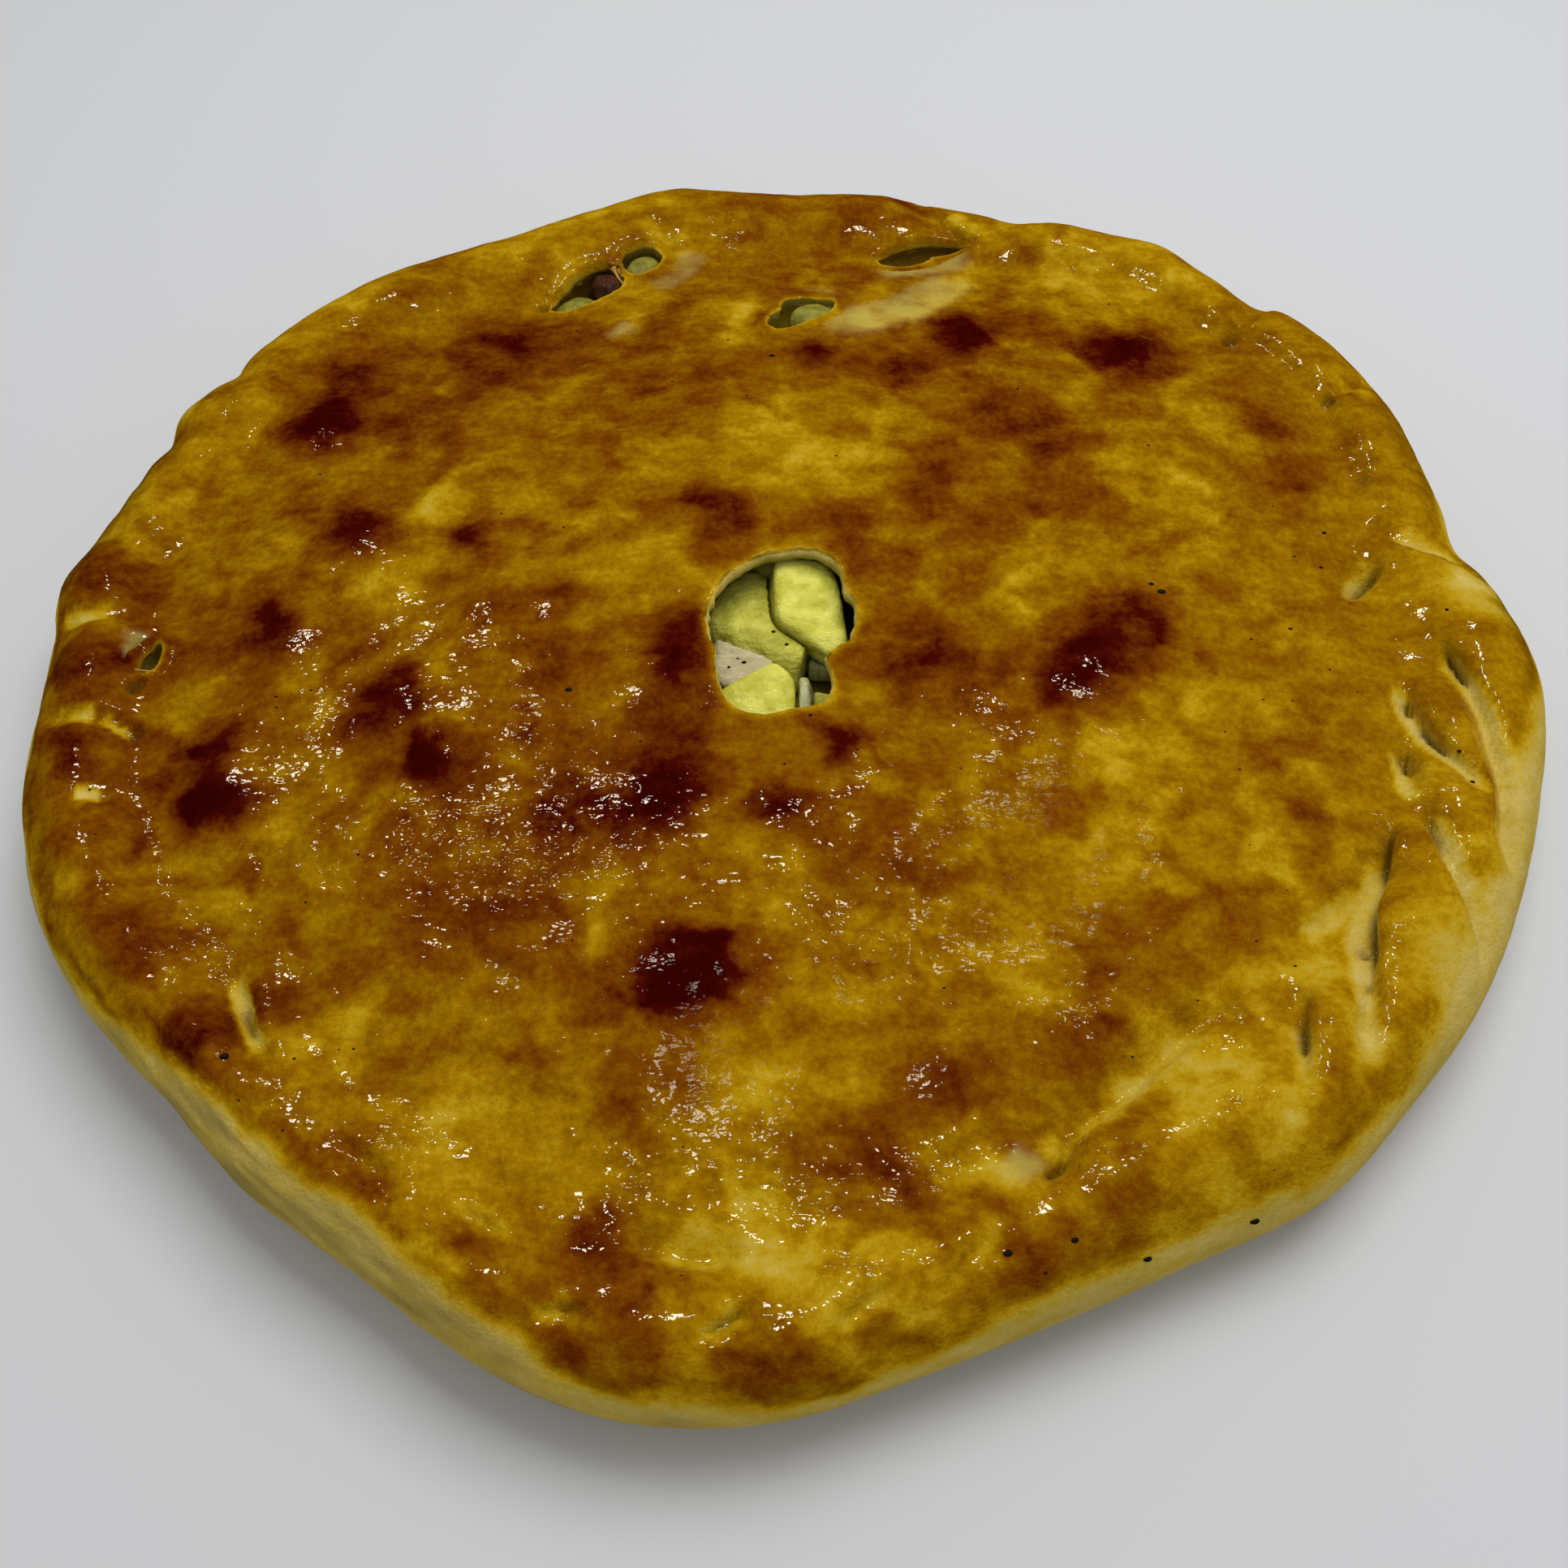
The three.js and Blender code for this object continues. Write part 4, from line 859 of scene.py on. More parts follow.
brown, below_glaze = browning(skin_x, skin_y, azimuths, skins)
print("browning from", brown.min().round(2), "to", brown.max().round(2), "mean", brown.mean().round(2))

# %% [markdown]
# The lip of the steam hole and the walls of the tears are bare dough that steamed rather than
# baked: cream at the edge and olive brown in the depth, and darker further down, which is painted
# shade. The glaze is thin on pale dough and in a few matt patches, and thick where the dough is
# damp. The flour lies thickest low on the near left side.

# %% Store the numbers and make the crust
bare = bump(np.clip(skins - hole_radius(azimuths), 0, None), 1.4)
brown = brown * (1 - 0.5 * bare)
glaze = (1 - smooth_step(below_glaze, -2, 2)) * (1 - 0.8 * bare)
glaze *= 0.25 + 0.75 * smooth_step(brown, 0.1, 0.3)
glaze *= 1 - np.clip(spots(skin_x, skin_y, MATT_PATCHES, 2.4, 1.0), 0, 1)
glaze *= 1 - 0.8 * smooth_step(skin_y, 50, 100) * smooth_step(skins - crest_radius(azimuths), -4, 6)
damp = streaks(skin_x, skin_y, DAMP_STREAKS)
glaze = np.maximum(glaze, 0.9 * damp)
patchy = 0.6 + 0.7 * rough(flat(np.radians(azimuths) * 60, skins), 4, seed=91)
flour = np.clip(around(FLOURY, azimuths) * smooth_step(below_glaze, 0, 6) * patchy, 0, 1)
well_count = sum(len(r) for r in well)
well_height = np.concatenate(well)[:, 2]
# How deep a point lies in the hollow under the steam hole: the deeper, the more painted shade.
well_depth = smooth_step(-well_height, -37.6, -29.5)
base_count = sum(len(r) for r in base_rings)


def on_crust(first, in_well, on_skin, on_base):
    """One value for each point of the crust: pole, hollow, skin, base, pole."""
    return np.concatenate([[first], in_well, on_skin, np.full(base_count + 1, on_base)])


crust = new_mesh("crust_skin", crust_points, crust_quads, crust_triangles, {
    "brown": on_crust(0, 0.05 + 0 * well_depth, brown, 0.3),
    "glaze": on_crust(0, 0 * well_depth, glaze, 0),
    "flour": on_crust(0, 0 * well_depth, flour, 0.5),
    # painted shade down the hollow under the steam hole, and the olive of damp dough by the openings
    "shade": on_crust(1, well_depth, 0.13 * damp, 0),
    # painted shade in the cracks and pits
    "painted_shade": on_crust(0, 0 * well_depth, 0.9 * painted_crack_shade(skin_x, skin_y), 0),
    "ripple": on_crust(0, 0.3 + 0 * well_depth, ripples(skin_x, skin_y), 0),
})
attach(crust, "root")
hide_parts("crust")
print("crust made with", len(crust.data.polygons), "faces")

# %% [markdown]
# ## The crust's finish
# Egg glaze is a clear hard coat over matt bread, so the material is a rough base with a smooth
# coat on top. The coat follows tiny beads and wrinkles, and each bead catches a lamp as one small
# glint. The colour runs through a ramp from pale dough over gold to nearly black, and a fine
# speckle breaks up every edge between them.

# %% Colours and helpers for materials


def seen(red, green, blue):
    """A colour given as it looks on a screen (0 to 255) in the linear numbers of a shader."""
    share = np.array([red, green, blue]) / 255
    linear = np.where(share <= 0.04045, share / 12.92, ((share + 0.055) / 1.055) ** 2.4)
    return (*linear.tolist(), 1.0)


class Finish:
    """A material under construction: a Principled shader and short ways to add nodes to it."""

    def __init__(self, name, **sockets):
        self.material = bpy.data.materials.new(name)
        self.material.use_nodes = True
        self.tree = self.material.node_tree
        self.shader = self.tree.nodes["Principled BSDF"]
        for socket, value in sockets.items():
            self.shader.inputs[socket.replace("_", " ")].default_value = value
        self.place = self.node("ShaderNodeTexCoord").outputs["Object"]

    def node(self, kind, **settings):
        """A new node with its settings."""
        made = self.tree.nodes.new(kind)
        for key, value in settings.items():
            setattr(made, key, value)
        return made

    def link(self, source, target):
        self.tree.links.new(source, target)

    def value(self, name):
        """The number stored on the mesh under that name."""
        return self.node("ShaderNodeAttribute", attribute_name=name).outputs["Fac"]

    def noise(self, size_mm, detail=3.0, stretch=None):
        """Noise with features of about size_mm, from 0 to 1."""
        made = self.node("ShaderNodeTexNoise")
        made.inputs["Scale"].default_value = 1 / (size_mm * MM)
        made.inputs["Detail"].default_value = detail
        place = self.place
        if stretch:
            mapping = self.node("ShaderNodeMapping")
            mapping.inputs["Scale"].default_value = stretch
            self.link(self.place, mapping.inputs["Vector"])
            place = mapping.outputs["Vector"]
        self.link(place, made.inputs["Vector"])
        return made.outputs["Fac"]

    def math(self, operation, a, b, c=None):
        """One sum, product or the like of sockets and numbers."""
        made = self.node("ShaderNodeMath", operation=operation)
        for socket, value in zip(made.inputs, (a, b, c)):
            if isinstance(value, (int, float)):
                socket.default_value = value
            elif value is not None:
                self.link(value, socket)
        return made.outputs[0]

    def ramp(self, factor, stops, smooth="LINEAR"):
        """Colours along a factor: stops are (position, colour)."""
        made = self.node("ShaderNodeValToRGB")
        made.color_ramp.interpolation = smooth
        elements = made.color_ramp.elements
        while len(elements) < len(stops):
            elements.new(0.5)
        for element, (position, colour) in zip(elements, stops):
            element.position, element.color = position, colour
        self.link(factor, made.inputs["Fac"])
        return made.outputs["Color"]

    def mix(self, factor, a, b):
        """Colour a where the factor is 0 and b where it is 1."""
        made = self.node("ShaderNodeMix", data_type="RGBA")
        for socket, value in ((made.inputs[0], factor), (made.inputs[6], a), (made.inputs[7], b)):
            if isinstance(value, (int, float, tuple)):
                socket.default_value = value
            else:
                self.link(value, socket)
        return made.outputs[2]

    def relief(self, height, depth_mm, normal=None):
        """A bump of that depth from a height of 0 to 1."""
        made = self.node("ShaderNodeBump")
        made.inputs["Strength"].default_value = 1.0
        made.inputs["Distance"].default_value = depth_mm * MM
        self.link(height, made.inputs["Height"])
        if normal is not None:
            self.link(normal, made.inputs["Normal"])
        return made.outputs["Normal"]

    def set(self, socket, value):
        self.link(value, self.shader.inputs[socket])


print("a golden crust in linear numbers:", [round(c, 3) for c in seen(150, 106, 8)])

# %% The crust's material
CRUST_COLOURS = [
    (0.00, seen(198, 174, 92)), (0.14, seen(188, 160, 58)), (0.28, seen(180, 144, 18)),
    (0.40, seen(158, 116, 3)), (0.52, seen(134, 90, 2)), (0.63, seen(118, 65, 2)),
    (0.75, seen(96, 42, 2)), (0.88, seen(68, 10, 2)), (1.00, seen(50, 3, 1))]
FLOUR_COLOUR = seen(146, 128, 66)
# Steamed dough from cream to olive. The darker stops are painted shade in the hollows.
STEAMED_AND_SHADED_COLOURS = [
    (0.0, seen(196, 180, 104)), (0.15, seen(168, 154, 66)), (0.45, seen(126, 108, 24)),
    (1.0, seen(102, 88, 20))]
# The colour of painted shade in cracks and pits, and where a tear's lip rolls over into its hollow.
PAINTED_SHADE_COLOUR = seen(84, 56, 8)
STEAM_AND_SHADE_GAIN = 6.0                  # a little shade already turns the crust to steamed dough, and more of it to painted shade
SPECKLES = [                        # size, detail, stretch, strength
    (1.4, 5, None, 0.28), (4.5, 6, (0.5, 1, 1), 0.38), (0.5, 2, None, 0.14)]

finish = Finish("egg_washed_crust", Roughness=0.6, Specular_IOR_Level=0.0, Coat_Roughness=0.045,
                Coat_IOR=1.5)
factor = finish.value("brown")
for size, detail, stretch, strength in SPECKLES:
    level = finish.math("SUBTRACT", finish.noise(size, detail, stretch), 0.5)
    factor = finish.math("MULTIPLY_ADD", level, strength, factor)
colour = finish.ramp(factor, CRUST_COLOURS)
colour = finish.mix(finish.value("flour"), colour, FLOUR_COLOUR)
# Steamed dough mixed with painted shade, as far as the shade number says.
steamed_and_shaded = finish.ramp(finish.value("shade"), STEAMED_AND_SHADED_COLOURS)
steam_and_shade_share = finish.math("MULTIPLY", finish.value("shade"), STEAM_AND_SHADE_GAIN)
colour = finish.mix(finish.math("MINIMUM", steam_and_shade_share, 1.0), colour, steamed_and_shaded)
# Painted shade in the cracks, the pits and over the rolled lips of the tears.
finish.set("Base Color", finish.mix(finish.value("painted_shade"), colour, PAINTED_SHADE_COLOUR))
finish.set("Coat Weight", finish.value("glaze"))
grainy = finish.relief(finish.noise(0.6, 3), 0.16)
finish.set("Normal", finish.relief(finish.noise(2.4, 3), 0.30, grainy))


def beads(size_mm, stretch):
    """Noise about zero that is as high as the ripple stored on the mesh."""
    level = finish.math("SUBTRACT", finish.noise(size_mm, 1, stretch), 0.5)
    return finish.math("MULTIPLY", level, finish.value("ripple"))


coat = finish.relief(beads(3.8, (0.7, 1, 1)), 1.5)
coat = finish.relief(beads(1.5, (0.6, 1, 1)), 0.75, coat)
finish.set("Coat Normal", finish.relief(finish.noise(0.85, 1), 0.04, coat))
crust.data.materials.append(finish.material)
print("crust finish:", len(finish.tree.nodes), "nodes")

# %% [markdown]
# ## Linings of the tears
# A lining starts as a lip that lies on the skin round the mouth. On the far side it rolls over
# softly into the shade, because the dough sagged there before it tore, and on the near side it
# turns over a thin edge. Then it runs down the wall to the floor of the hollow. The shade that the
# lip rolls into and the darkening down the wall are painted into the colour.

# %% Lay a lining in each tear
LINING_STEPS = 132
LIP_WIDTHS = [3.6, 3.1, 2.6, 2.1, 1.6, 1.2, 0.8, 0.45, 0.15]        # outside the mouth
LIP_HEIGHTS = [-0.3, -0.06, 0.04, 0.07, 0.10, 0.10, 0.10, 0.06, -0.05]
LIP_DROPS = [0, 0, 0, 0.08, 0.3, 0.6, 1.0, 1.45, 2.0]               # more on the side that rolls over
# painted shade where the lip rolls over into the hollow
LIP_SHADES = [0, 0, 0, 0.02, 0.08, 0.18, 0.32, 0.48, 0.62]
LINING_DEPTHS = np.linspace(0.03, 0.97, 20)                         # from mouth to floor
NEIGHBOUR_ROOM = 0.3                # mm that a lip keeps from another mouth
TORN_FROM = 4                       # the ring of the lip where bare dough begins


def lining(tear):
    """Points of one lining, and at each the rolled-out place, how steamed it is, with painted shade
    that deepens down the wall, and the painted shade where the lip rolls over. Where a neighbour's
    mouth is close, the lip is drawn in until it stays out of it."""
    (cx, cy), along, (half_long, half_wide), depth = TEARS[tear]
    turn = np.arange(LINING_STEPS) * 2 * np.pi / LINING_STEPS
    reach = mouth(tear, turn)
    rolled = ROLL[tear] * smooth_step(np.sin(turn), -0.2, 0.8)
    origin, axes = skin_frame((cx, cy), along)
    heading = math.radians(along)

    def rolled_out(wide):
        """Place on the rolled-out crust, wide mm outside the ragged mouth."""
        p = (half_long * MOUTH_SHARE * reach + wide) * np.cos(turn)
        q = (half_wide * MOUTH_SHARE * reach + wide) * np.sin(turn)
        return (cx + p * math.cos(heading) - q * math.sin(heading),
                cy + p * math.sin(heading) + q * math.cos(heading))

    room = np.ones(LINING_STEPS)
    for share in (1.0, 0.8, 0.6, 0.4, 0.2):
        for other in TEARS:
            wide = tear_share(*rolled_out(share * LIP_WIDTHS[0]), other)[3]
            close = (wide < NEIGHBOUR_ROOM) & (other != tear)
            room = np.where(close, np.minimum(room, 0.8 * share), room)
    places, points, shades, rolled_shades = [], [], [], []
    for wide, height, drop, shade in zip(LIP_WIDTHS, LIP_HEIGHTS, LIP_DROPS, LIP_SHADES):
        x, y = rolled_out(wide * room)
        places.append(np.stack([x, y], axis=1))
        points.append(skin_point(x, y) + (height - drop * rolled)[:, None] * axes[2])
        shades.append(0 * rolled)
        # Painted shade on the side that rolls over.
        rolled_shades.append(shade * rolled)
    flat_mouth = hollow(np.full(LINING_STEPS, MOUTH_ANGLE), turn, half_long * reach, half_wide * reach, depth)
    lifted = points[-1] - (origin + flat_mouth @ axes)      # the real lip over the frame's flat plane
    for share in LINING_DEPTHS:
        down = np.full(LINING_STEPS, MOUTH_ANGLE + (math.pi - MOUTH_ANGLE) * share)
        wall = origin + hollow(down, turn, half_long * reach, half_wide * reach, depth) @ axes
        wall += 0.3 * share * rough(wall, 4, seed=46)[:, None] * axes[2]
        places.append(places[-1])
        points.append(wall + (1 - share) ** 4 * lifted)
        # The wall darkens with depth: steamed dough with painted shade on the near side, and deeper painted
        # shade on the side that rolls over.
        shades.append(smooth_step(share, -0.05, 0.45) * (1 - rolled))
        rolled_shades.append(np.clip(LIP_SHADES[-1] + share, 0, 0.92) * rolled)
    floor = points[-1].mean(axis=0, keepdims=True) - 0.05 * axes[2]
    outside = points[0].mean(axis=0, keepdims=True) - 1.2 * axes[2]
    every_place = np.concatenate([[[cx, cy]], *places, [[cx, cy]]])
    return (np.concatenate([outside, *points, floor]), every_place, np.concatenate([[0], *shades, [1]]),
            np.concatenate([[0], *rolled_shades, [0.9]]))


lining_rows = [lining(tear) for tear in TEARS]
lining_rings = len(LIP_WIDTHS) + len(LINING_DEPTHS)
quads, triangles = join_rings([LINING_STEPS] * lining_rings)
triangles = triangles[LINING_STEPS:]                    # no fan over the open mouth
quads, triangles = repeated(quads, triangles, len(TEARS), len(lining_rows[0][0]))
lining_points, lining_places, lining_shade, lining_painted_shade = map(np.concatenate, zip(*lining_rows))
lining_x, lining_y = lining_places.T
lining_brown, _ = browning(lining_x, lining_y, *polar(lining_x, lining_y))
ring_number = np.concatenate([[0], np.repeat(np.arange(lining_rings), LINING_STEPS), [lining_rings]])
torn = smooth_step(np.tile(ring_number, len(TEARS)), TORN_FROM, len(LIP_WIDTHS))
linings = new_mesh("tear_linings", lining_points, quads[:, ::-1], triangles[:, ::-1], {
    "brown": lining_brown * (1 - 0.7 * torn) + 0.05 * torn,
    "glaze": 0.9 - 0.5 * torn,
    "flour": 0 * torn,
    "shade": lining_shade,
    "painted_shade": lining_painted_shade,
    "ripple": ripples(lining_x, lining_y),
})
linings.data.materials.append(finish.material)
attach(linings, "root")
print("linings:", len(linings.data.polygons), "faces")

# %% [markdown]
# ## The filling in the steam hole
# Potato, chicken and onion are cut with a knife, so each piece is a few flat cuts with soft
# edges. One formula makes them all: along any direction, the surface lies where the cuts' powers
# sum to one, and a high power gives crisp edges. A piece that lies against another is cut back
# where a line from its own middle would enter the neighbour, so the middle lies outside all the
# others.

# %% Pieces from flat cuts
HOLE_PIECES = {                     # middle, cuts (azimuth, elevation, distance), sharpness
    "potato_a": ((5, 12.5, 26.6), [(300, 80, 5.0), (183, 10, 7.2), (234, -12, 6.8), (5, 5, 7.6),
                                   (30, 0, 9.0), (85, 0, 10.2), (0, -90, 4.4), (210, 0, 8.0)], 9),
    "potato_b": ((-4, 9.5, 22.6), [(90, 90, 5.4), (242, 30, 7.1), (242, 0, 8.4), (180, 0, 11.6),
                                   (146, 0, 12.2), (340, 0, 10.6), (60, 0, 12), (0, -90, 5.2)], 9),
    "potato_c": ((-3.5, -8.6, 23), [(270, 84, 6.2), (122, 5, 5.6), (50, 0, 7.0), (0, 0, 6.3),
                                    (268, 0, 8.6), (180, 0, 9.2), (222, 0, 9.6), (0, -90, 5.6)], 9),
    "potato_d": ((9.6, -10.6, 21.6), [(140, 70, 4.6), (180, 0, 3.4), (0, 0, 3.4), (60, 0, 3.6),
                                      (240, 0, 3.8), (300, 0, 4), (0, -90, 4.2)], 9),
    "potato_e": ((-3.4, 24.6, 21.4), [(250, 65, 5.1), (180, 0, 3.4), (0, 0, 4.4), (90, 0, 1.6),
                                      (270, 0, 5.2), (0, -90, 4)], 9),
    "chicken_piece": ((-8.2, 1.2, 21.6), [(230, 84, 4.4), (180, 0, 5.4), (350, 0, 7), (70, 0, 6),
                                          (250, 0, 6.2), (0, -90, 4.2)], 7),
    "onion_sliver": ((4.6, -7.4, 22.4), [(0, 10, 1.7), (180, 0, 1.3), (90, 0, 4.2), (270, 0, 4.6),
                                         (0, 90, 4.8), (0, -90, 5)], 6),
    "onion_layer": ((8.7, 4.4, 21), [(250, 70, 2.7), (0, 0, 3.6), (180, 0, 3.4), (90, 0, 4.4),
                                     (270, 0, 2.6), (0, -90, 3.4)], 6),
}
GAP = 0.35                          # between a piece and its neighbour
BALL_RINGS, BALL_STEPS = 60, 96
SEARCH_STEPS = 96                   # along a line from a piece's middle
POTATO_GRAIN, FINE_GRAIN = 0.16, 0.10                   # how deep the surface is carved


def ball(rings=BALL_RINGS, steps=BALL_STEPS):
    """Directions over a ball in rings round the X axis, with its faces and closed poles."""
    tilt = np.linspace(0, np.pi, rings + 2)[1:-1]
    turn = np.arange(steps) * 2 * np.pi / steps
    tilts, turns = np.meshgrid(tilt, turn, indexing="ij")
    around_axis = np.stack([np.cos(tilts), np.sin(tilts) * np.cos(turns), np.sin(tilts) * np.sin(turns)], -1)
    directions = np.concatenate([[[1, 0, 0]], around_axis.reshape(-1, 3), [[-1, 0, 0]]])
    return directions, *join_rings([steps] * rings)


def cut_sum(offsets, cuts, sharpness, grow=0.0):
    """Sum of max(offset . normal / distance, 0) ^ sharpness over the cuts: 1 on the surface."""
    azimuth, elevation, distance = np.array(cuts, float).T
    azimuth, elevation = np.radians(azimuth), np.radians(elevation)
    normals = np.stack([np.cos(elevation) * np.cos(azimuth), np.cos(elevation) * np.sin(azimuth),
                        np.sin(elevation)])
    return (np.maximum(offsets @ normals / (distance + grow), 0) ** sharpness).sum(-1)


def cut_piece(directions, name, others):
    """Radius along each direction. The cuts give it, and it ends early where the line enters a
    grown neighbour."""
    middle, cuts, sharpness = HOLE_PIECES[name]
    radius = cut_sum(directions, cuts, sharpness) ** (-1 / sharpness)
    shares = np.linspace(0, 1, SEARCH_STEPS)
    for other in others:
        other_middle, other_cuts, other_sharpness = HOLE_PIECES[other]
        start = np.array(middle) - np.array(other_middle)
        along = start + directions[:, None, :] * (radius[:, None] * shares)[:, :, None]
        inside = cut_sum(along, other_cuts, other_sharpness, GAP) < 1
        first = np.where(inside.any(1), np.argmax(inside, axis=1), SEARCH_STEPS)
        radius = radius * np.clip((first - 1) / (SEARCH_STEPS - 1), 0.05, 1)
    return radius


ball_directions, ball_quads, ball_triangles = ball()
hole_objects = {}
for order, name in enumerate(HOLE_PIECES):
    reach = cut_piece(ball_directions, name, list(HOLE_PIECES)[:order])
    surface = np.array(HOLE_PIECES[name][0]) + ball_directions * reach[:, None]
    grain_depth = POTATO_GRAIN if name.startswith("potato") else FINE_GRAIN
    carve = grain_depth * (1 + rough(surface, 2.4, seed=100 + order)) / 2
    surface = surface - ball_directions * carve[:, None]
    hole_objects[name] = new_mesh(name + "_dressed", surface, ball_quads, ball_triangles)
    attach(hole_objects[name], "root")
    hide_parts(name)
print("pieces in the steam hole:", ", ".join(hole_objects))

# %% [markdown]
# ## The filling in the tears
# Only the tops of these pieces show. Each is a rounded lump that is pressed against the wall of
# its hollow, so its points are held inside a slightly smaller ellipsoid than the hollow's own.

# %% Pieces behind the tears
TEAR_PIECES = {                     # tear, middle along, across and out of the skin, half sizes
    "tear_onion": ("back_left", (-4.6, -1.0, -5.0), (6.2, 4.2, 3.6)),
    "tear_meat": ("back_left", (5.8, 0.8, -4.6), (3.8, 4.4, 4.0)),
    "tear_potato": ("back_left_end", (0, -0.6, -3.8), (4.6, 3.6, 2.8)),
    "gap_potato": ("back_middle", (3.2, -0.3, -3.6), (5.6, 6.2, 3.8)),
    "gap_onion": ("back_middle", (-6.0, -1.2, -4.4), (2.8, 2.8, 2.4)),
}


def tear_piece(name, order):
    """An uneven ellipsoid in the tear's own frame, drawn back inside the shrunken hollow."""
    tear, middle, half = TEAR_PIECES[name]
    place, along, (half_long, half_wide), depth = TEARS[tear]
    origin, axes = skin_frame(place, along)
    local = np.array(middle) + ball_directions * np.array(half)
    local *= 1 + 0.2 * rough(local, 3.2, seed=120 + order)[:, None]
    sink = np.array([0, 0, depth * POCKET_SINK])
    room = np.array([half_long, half_wide, depth * (1 - POCKET_SINK)]) - GAP
    outside = np.linalg.norm((local + sink) / room, axis=1)[:, None]
    local = (local + sink) / np.maximum(outside, 1) - sink
    return origin + local @ axes


tear_objects = {}
for order, name in enumerate(TEAR_PIECES):
    tear_objects[name] = new_mesh(name + "_dressed", tear_piece(name, order), ball_quads, ball_triangles)
    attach(tear_objects[name], "root")
    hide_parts(name)
print("pieces in the tears:", ", ".join(tear_objects))

# %% [markdown]
# Boiled potato is matt where it was cut and glistens with broth, and turmeric in the broth dyes
# it yellow green. Chicken is paler and fibrous, and cooked onion lets light through. A little
# light is allowed to spread below each surface, which is what makes food look soft. Pieces in
# the shade of the lid or deep in a tear get darker copies of these finishes, which is painted
# shade.

# %% Finishes of the filling


def moist_finish(name, light, dark, patch_mm, slot, fibres=None, wet=0.5):
    """A moist food surface: two colours mixed by patches and fine grain, under a thin wet coat."""
    made = Finish(name, Roughness=0.5, Coat_Roughness=0.05, Coat_IOR=1.5, Coat_Weight=wet,
                  Subsurface_Weight=0.25, Subsurface_Radius=(1.0, 0.7, 0.3), Subsurface_Scale=1.6 * MM)
    patches = made.ramp(made.noise(patch_mm, 3, fibres), [(0.32, light), (0.68, dark)], "EASE")
    specks = made.math("MULTIPLY", made.noise(0.5, 2), 0.35)
    made.set("Base Color", made.mix(specks, patches, light))
    grain = made.relief(made.noise(0.7, 4, fibres), 0.30)
    made.set("Normal", made.relief(made.noise(2.4, 3, (0.6, 1, 1)), 0.9, grain))
    made.set("Coat Normal", made.relief(made.noise(1.5, 2, (0.6, 1, 1)), 0.8))
    made.slot = slot
    return made


# The first potato finish is the lit one. The shaded potato, the potato and onion finishes of the tears, and
# the meat are darker copies: painted shade for pieces under the lid or deep in a tear.
potato_bright = moist_finish("potato_bright", seen(232, 228, 102), seen(188, 184, 34), 4, "potato", wet=0.9)
potato_shaded = moist_finish("potato_shaded", seen(222, 216, 92), seen(160, 156, 24), 5, "potato", wet=0.9)
potato_in_painted_shade = moist_finish("potato_in_painted_shade", seen(152, 146, 54), seen(112, 104, 20), 2.4, "potato", wet=0.4)
chicken_finish = moist_finish("cooked_chicken", seen(216, 203, 160), seen(192, 174, 126), 4, "chicken",
                              fibres=(1, 3, 1), wet=0.3)
onion_finish = moist_finish("cooked_onion", seen(206, 204, 158), seen(172, 170, 100), 3, "onion",
                            fibres=(3, 1, 1), wet=0.9)
onion_in_painted_shade = moist_finish("onion_in_painted_shade", seen(150, 148, 46), seen(112, 104, 22), 3, "onion", wet=0.9)
meat_finish = moist_finish("shaded_meat", seen(76, 36, 12), seen(54, 20, 4), 3, "dark_meat", wet=0.7)
FILLING_FINISHES = {
    "potato_a": potato_bright, "potato_b": potato_shaded, "potato_c": potato_bright,
    "potato_d": potato_shaded, "potato_e": potato_shaded, "chicken_piece": chicken_finish,
    "onion_sliver": onion_finish, "onion_layer": onion_finish, "tear_onion": onion_in_painted_shade,
    "tear_meat": meat_finish, "tear_potato": potato_in_painted_shade, "gap_potato": potato_in_painted_shade,
    "gap_onion": onion_in_painted_shade,
}
for name, piece in {**hole_objects, **tear_objects}.items():
    piece.data.materials.append(FILLING_FINISHES[name].material)
print("finishes given to", len(FILLING_FINISHES), "pieces")

# %% [markdown]
# ## Pepper
# Coarse black pepper was worked into the dough and the filling. A few grains of about a
# millimetre show clearly, and many finer ones spread at random by a seeded draw. They are small
# uneven pebbles, half sunk in the skin, all in one mesh.

# %% Pepper grains
BIG_GRAINS = [                      # x, y on the rolled-out crust, radius
    (81.2, -115.9, .8), (35.8, -120.8, .7), (46.7, -118.6, .6), (61.1, -122.6, .7), (-93.2, -87, .7),
    (-39.9, -14.5, .6), (75.1, 11.9, .8), (-2.2, 82.5, .6), (5.4, -20.6, .35), (129, -22.7, .45),
    (129.1, -29.8, .5), (112.7, 33.4, .45), (110.8, 24.6, .4), (100.8, 6.2, .4), (133.1, 10.5, .4),
    (73.4, 14, .5)]
FINE_GRAINS, GRAIN_SEED = 70, 7
FINE_NEAR, FINE_REACH = 24, 112     # nearest to the axis, and how much further out they go
FINE_RADIUS, FINE_RADIUS_MORE = 0.16, 0.14
HOLE_GRAINS = [                     # x, y, z on the filling, radius
    (-8.6, 1.6, 25.9, .35), (-7.4, 0.6, 26.0, .45), (-10.4, -0.4, 25.8, .3), (-1.6, 5.0, 30.2, .4),
    (1.0, 3.6, 28.0, .35)]


def pebbles(centres, radii):
    """One mesh of small uneven balls, by copying a coarse ball to each centre."""
    directions, quads, triangles = ball(3, 6)
    shape = directions * (1 + 0.25 * noise(directions, 0.8, seed=131))[:, None]
    points = centres[:, None, :] + shape * radii[:, None, None] * np.array([1.1, 0.9, 0.6])
    return points.reshape(-1, 3), *repeated(quads, triangles, len(centres), len(shape))


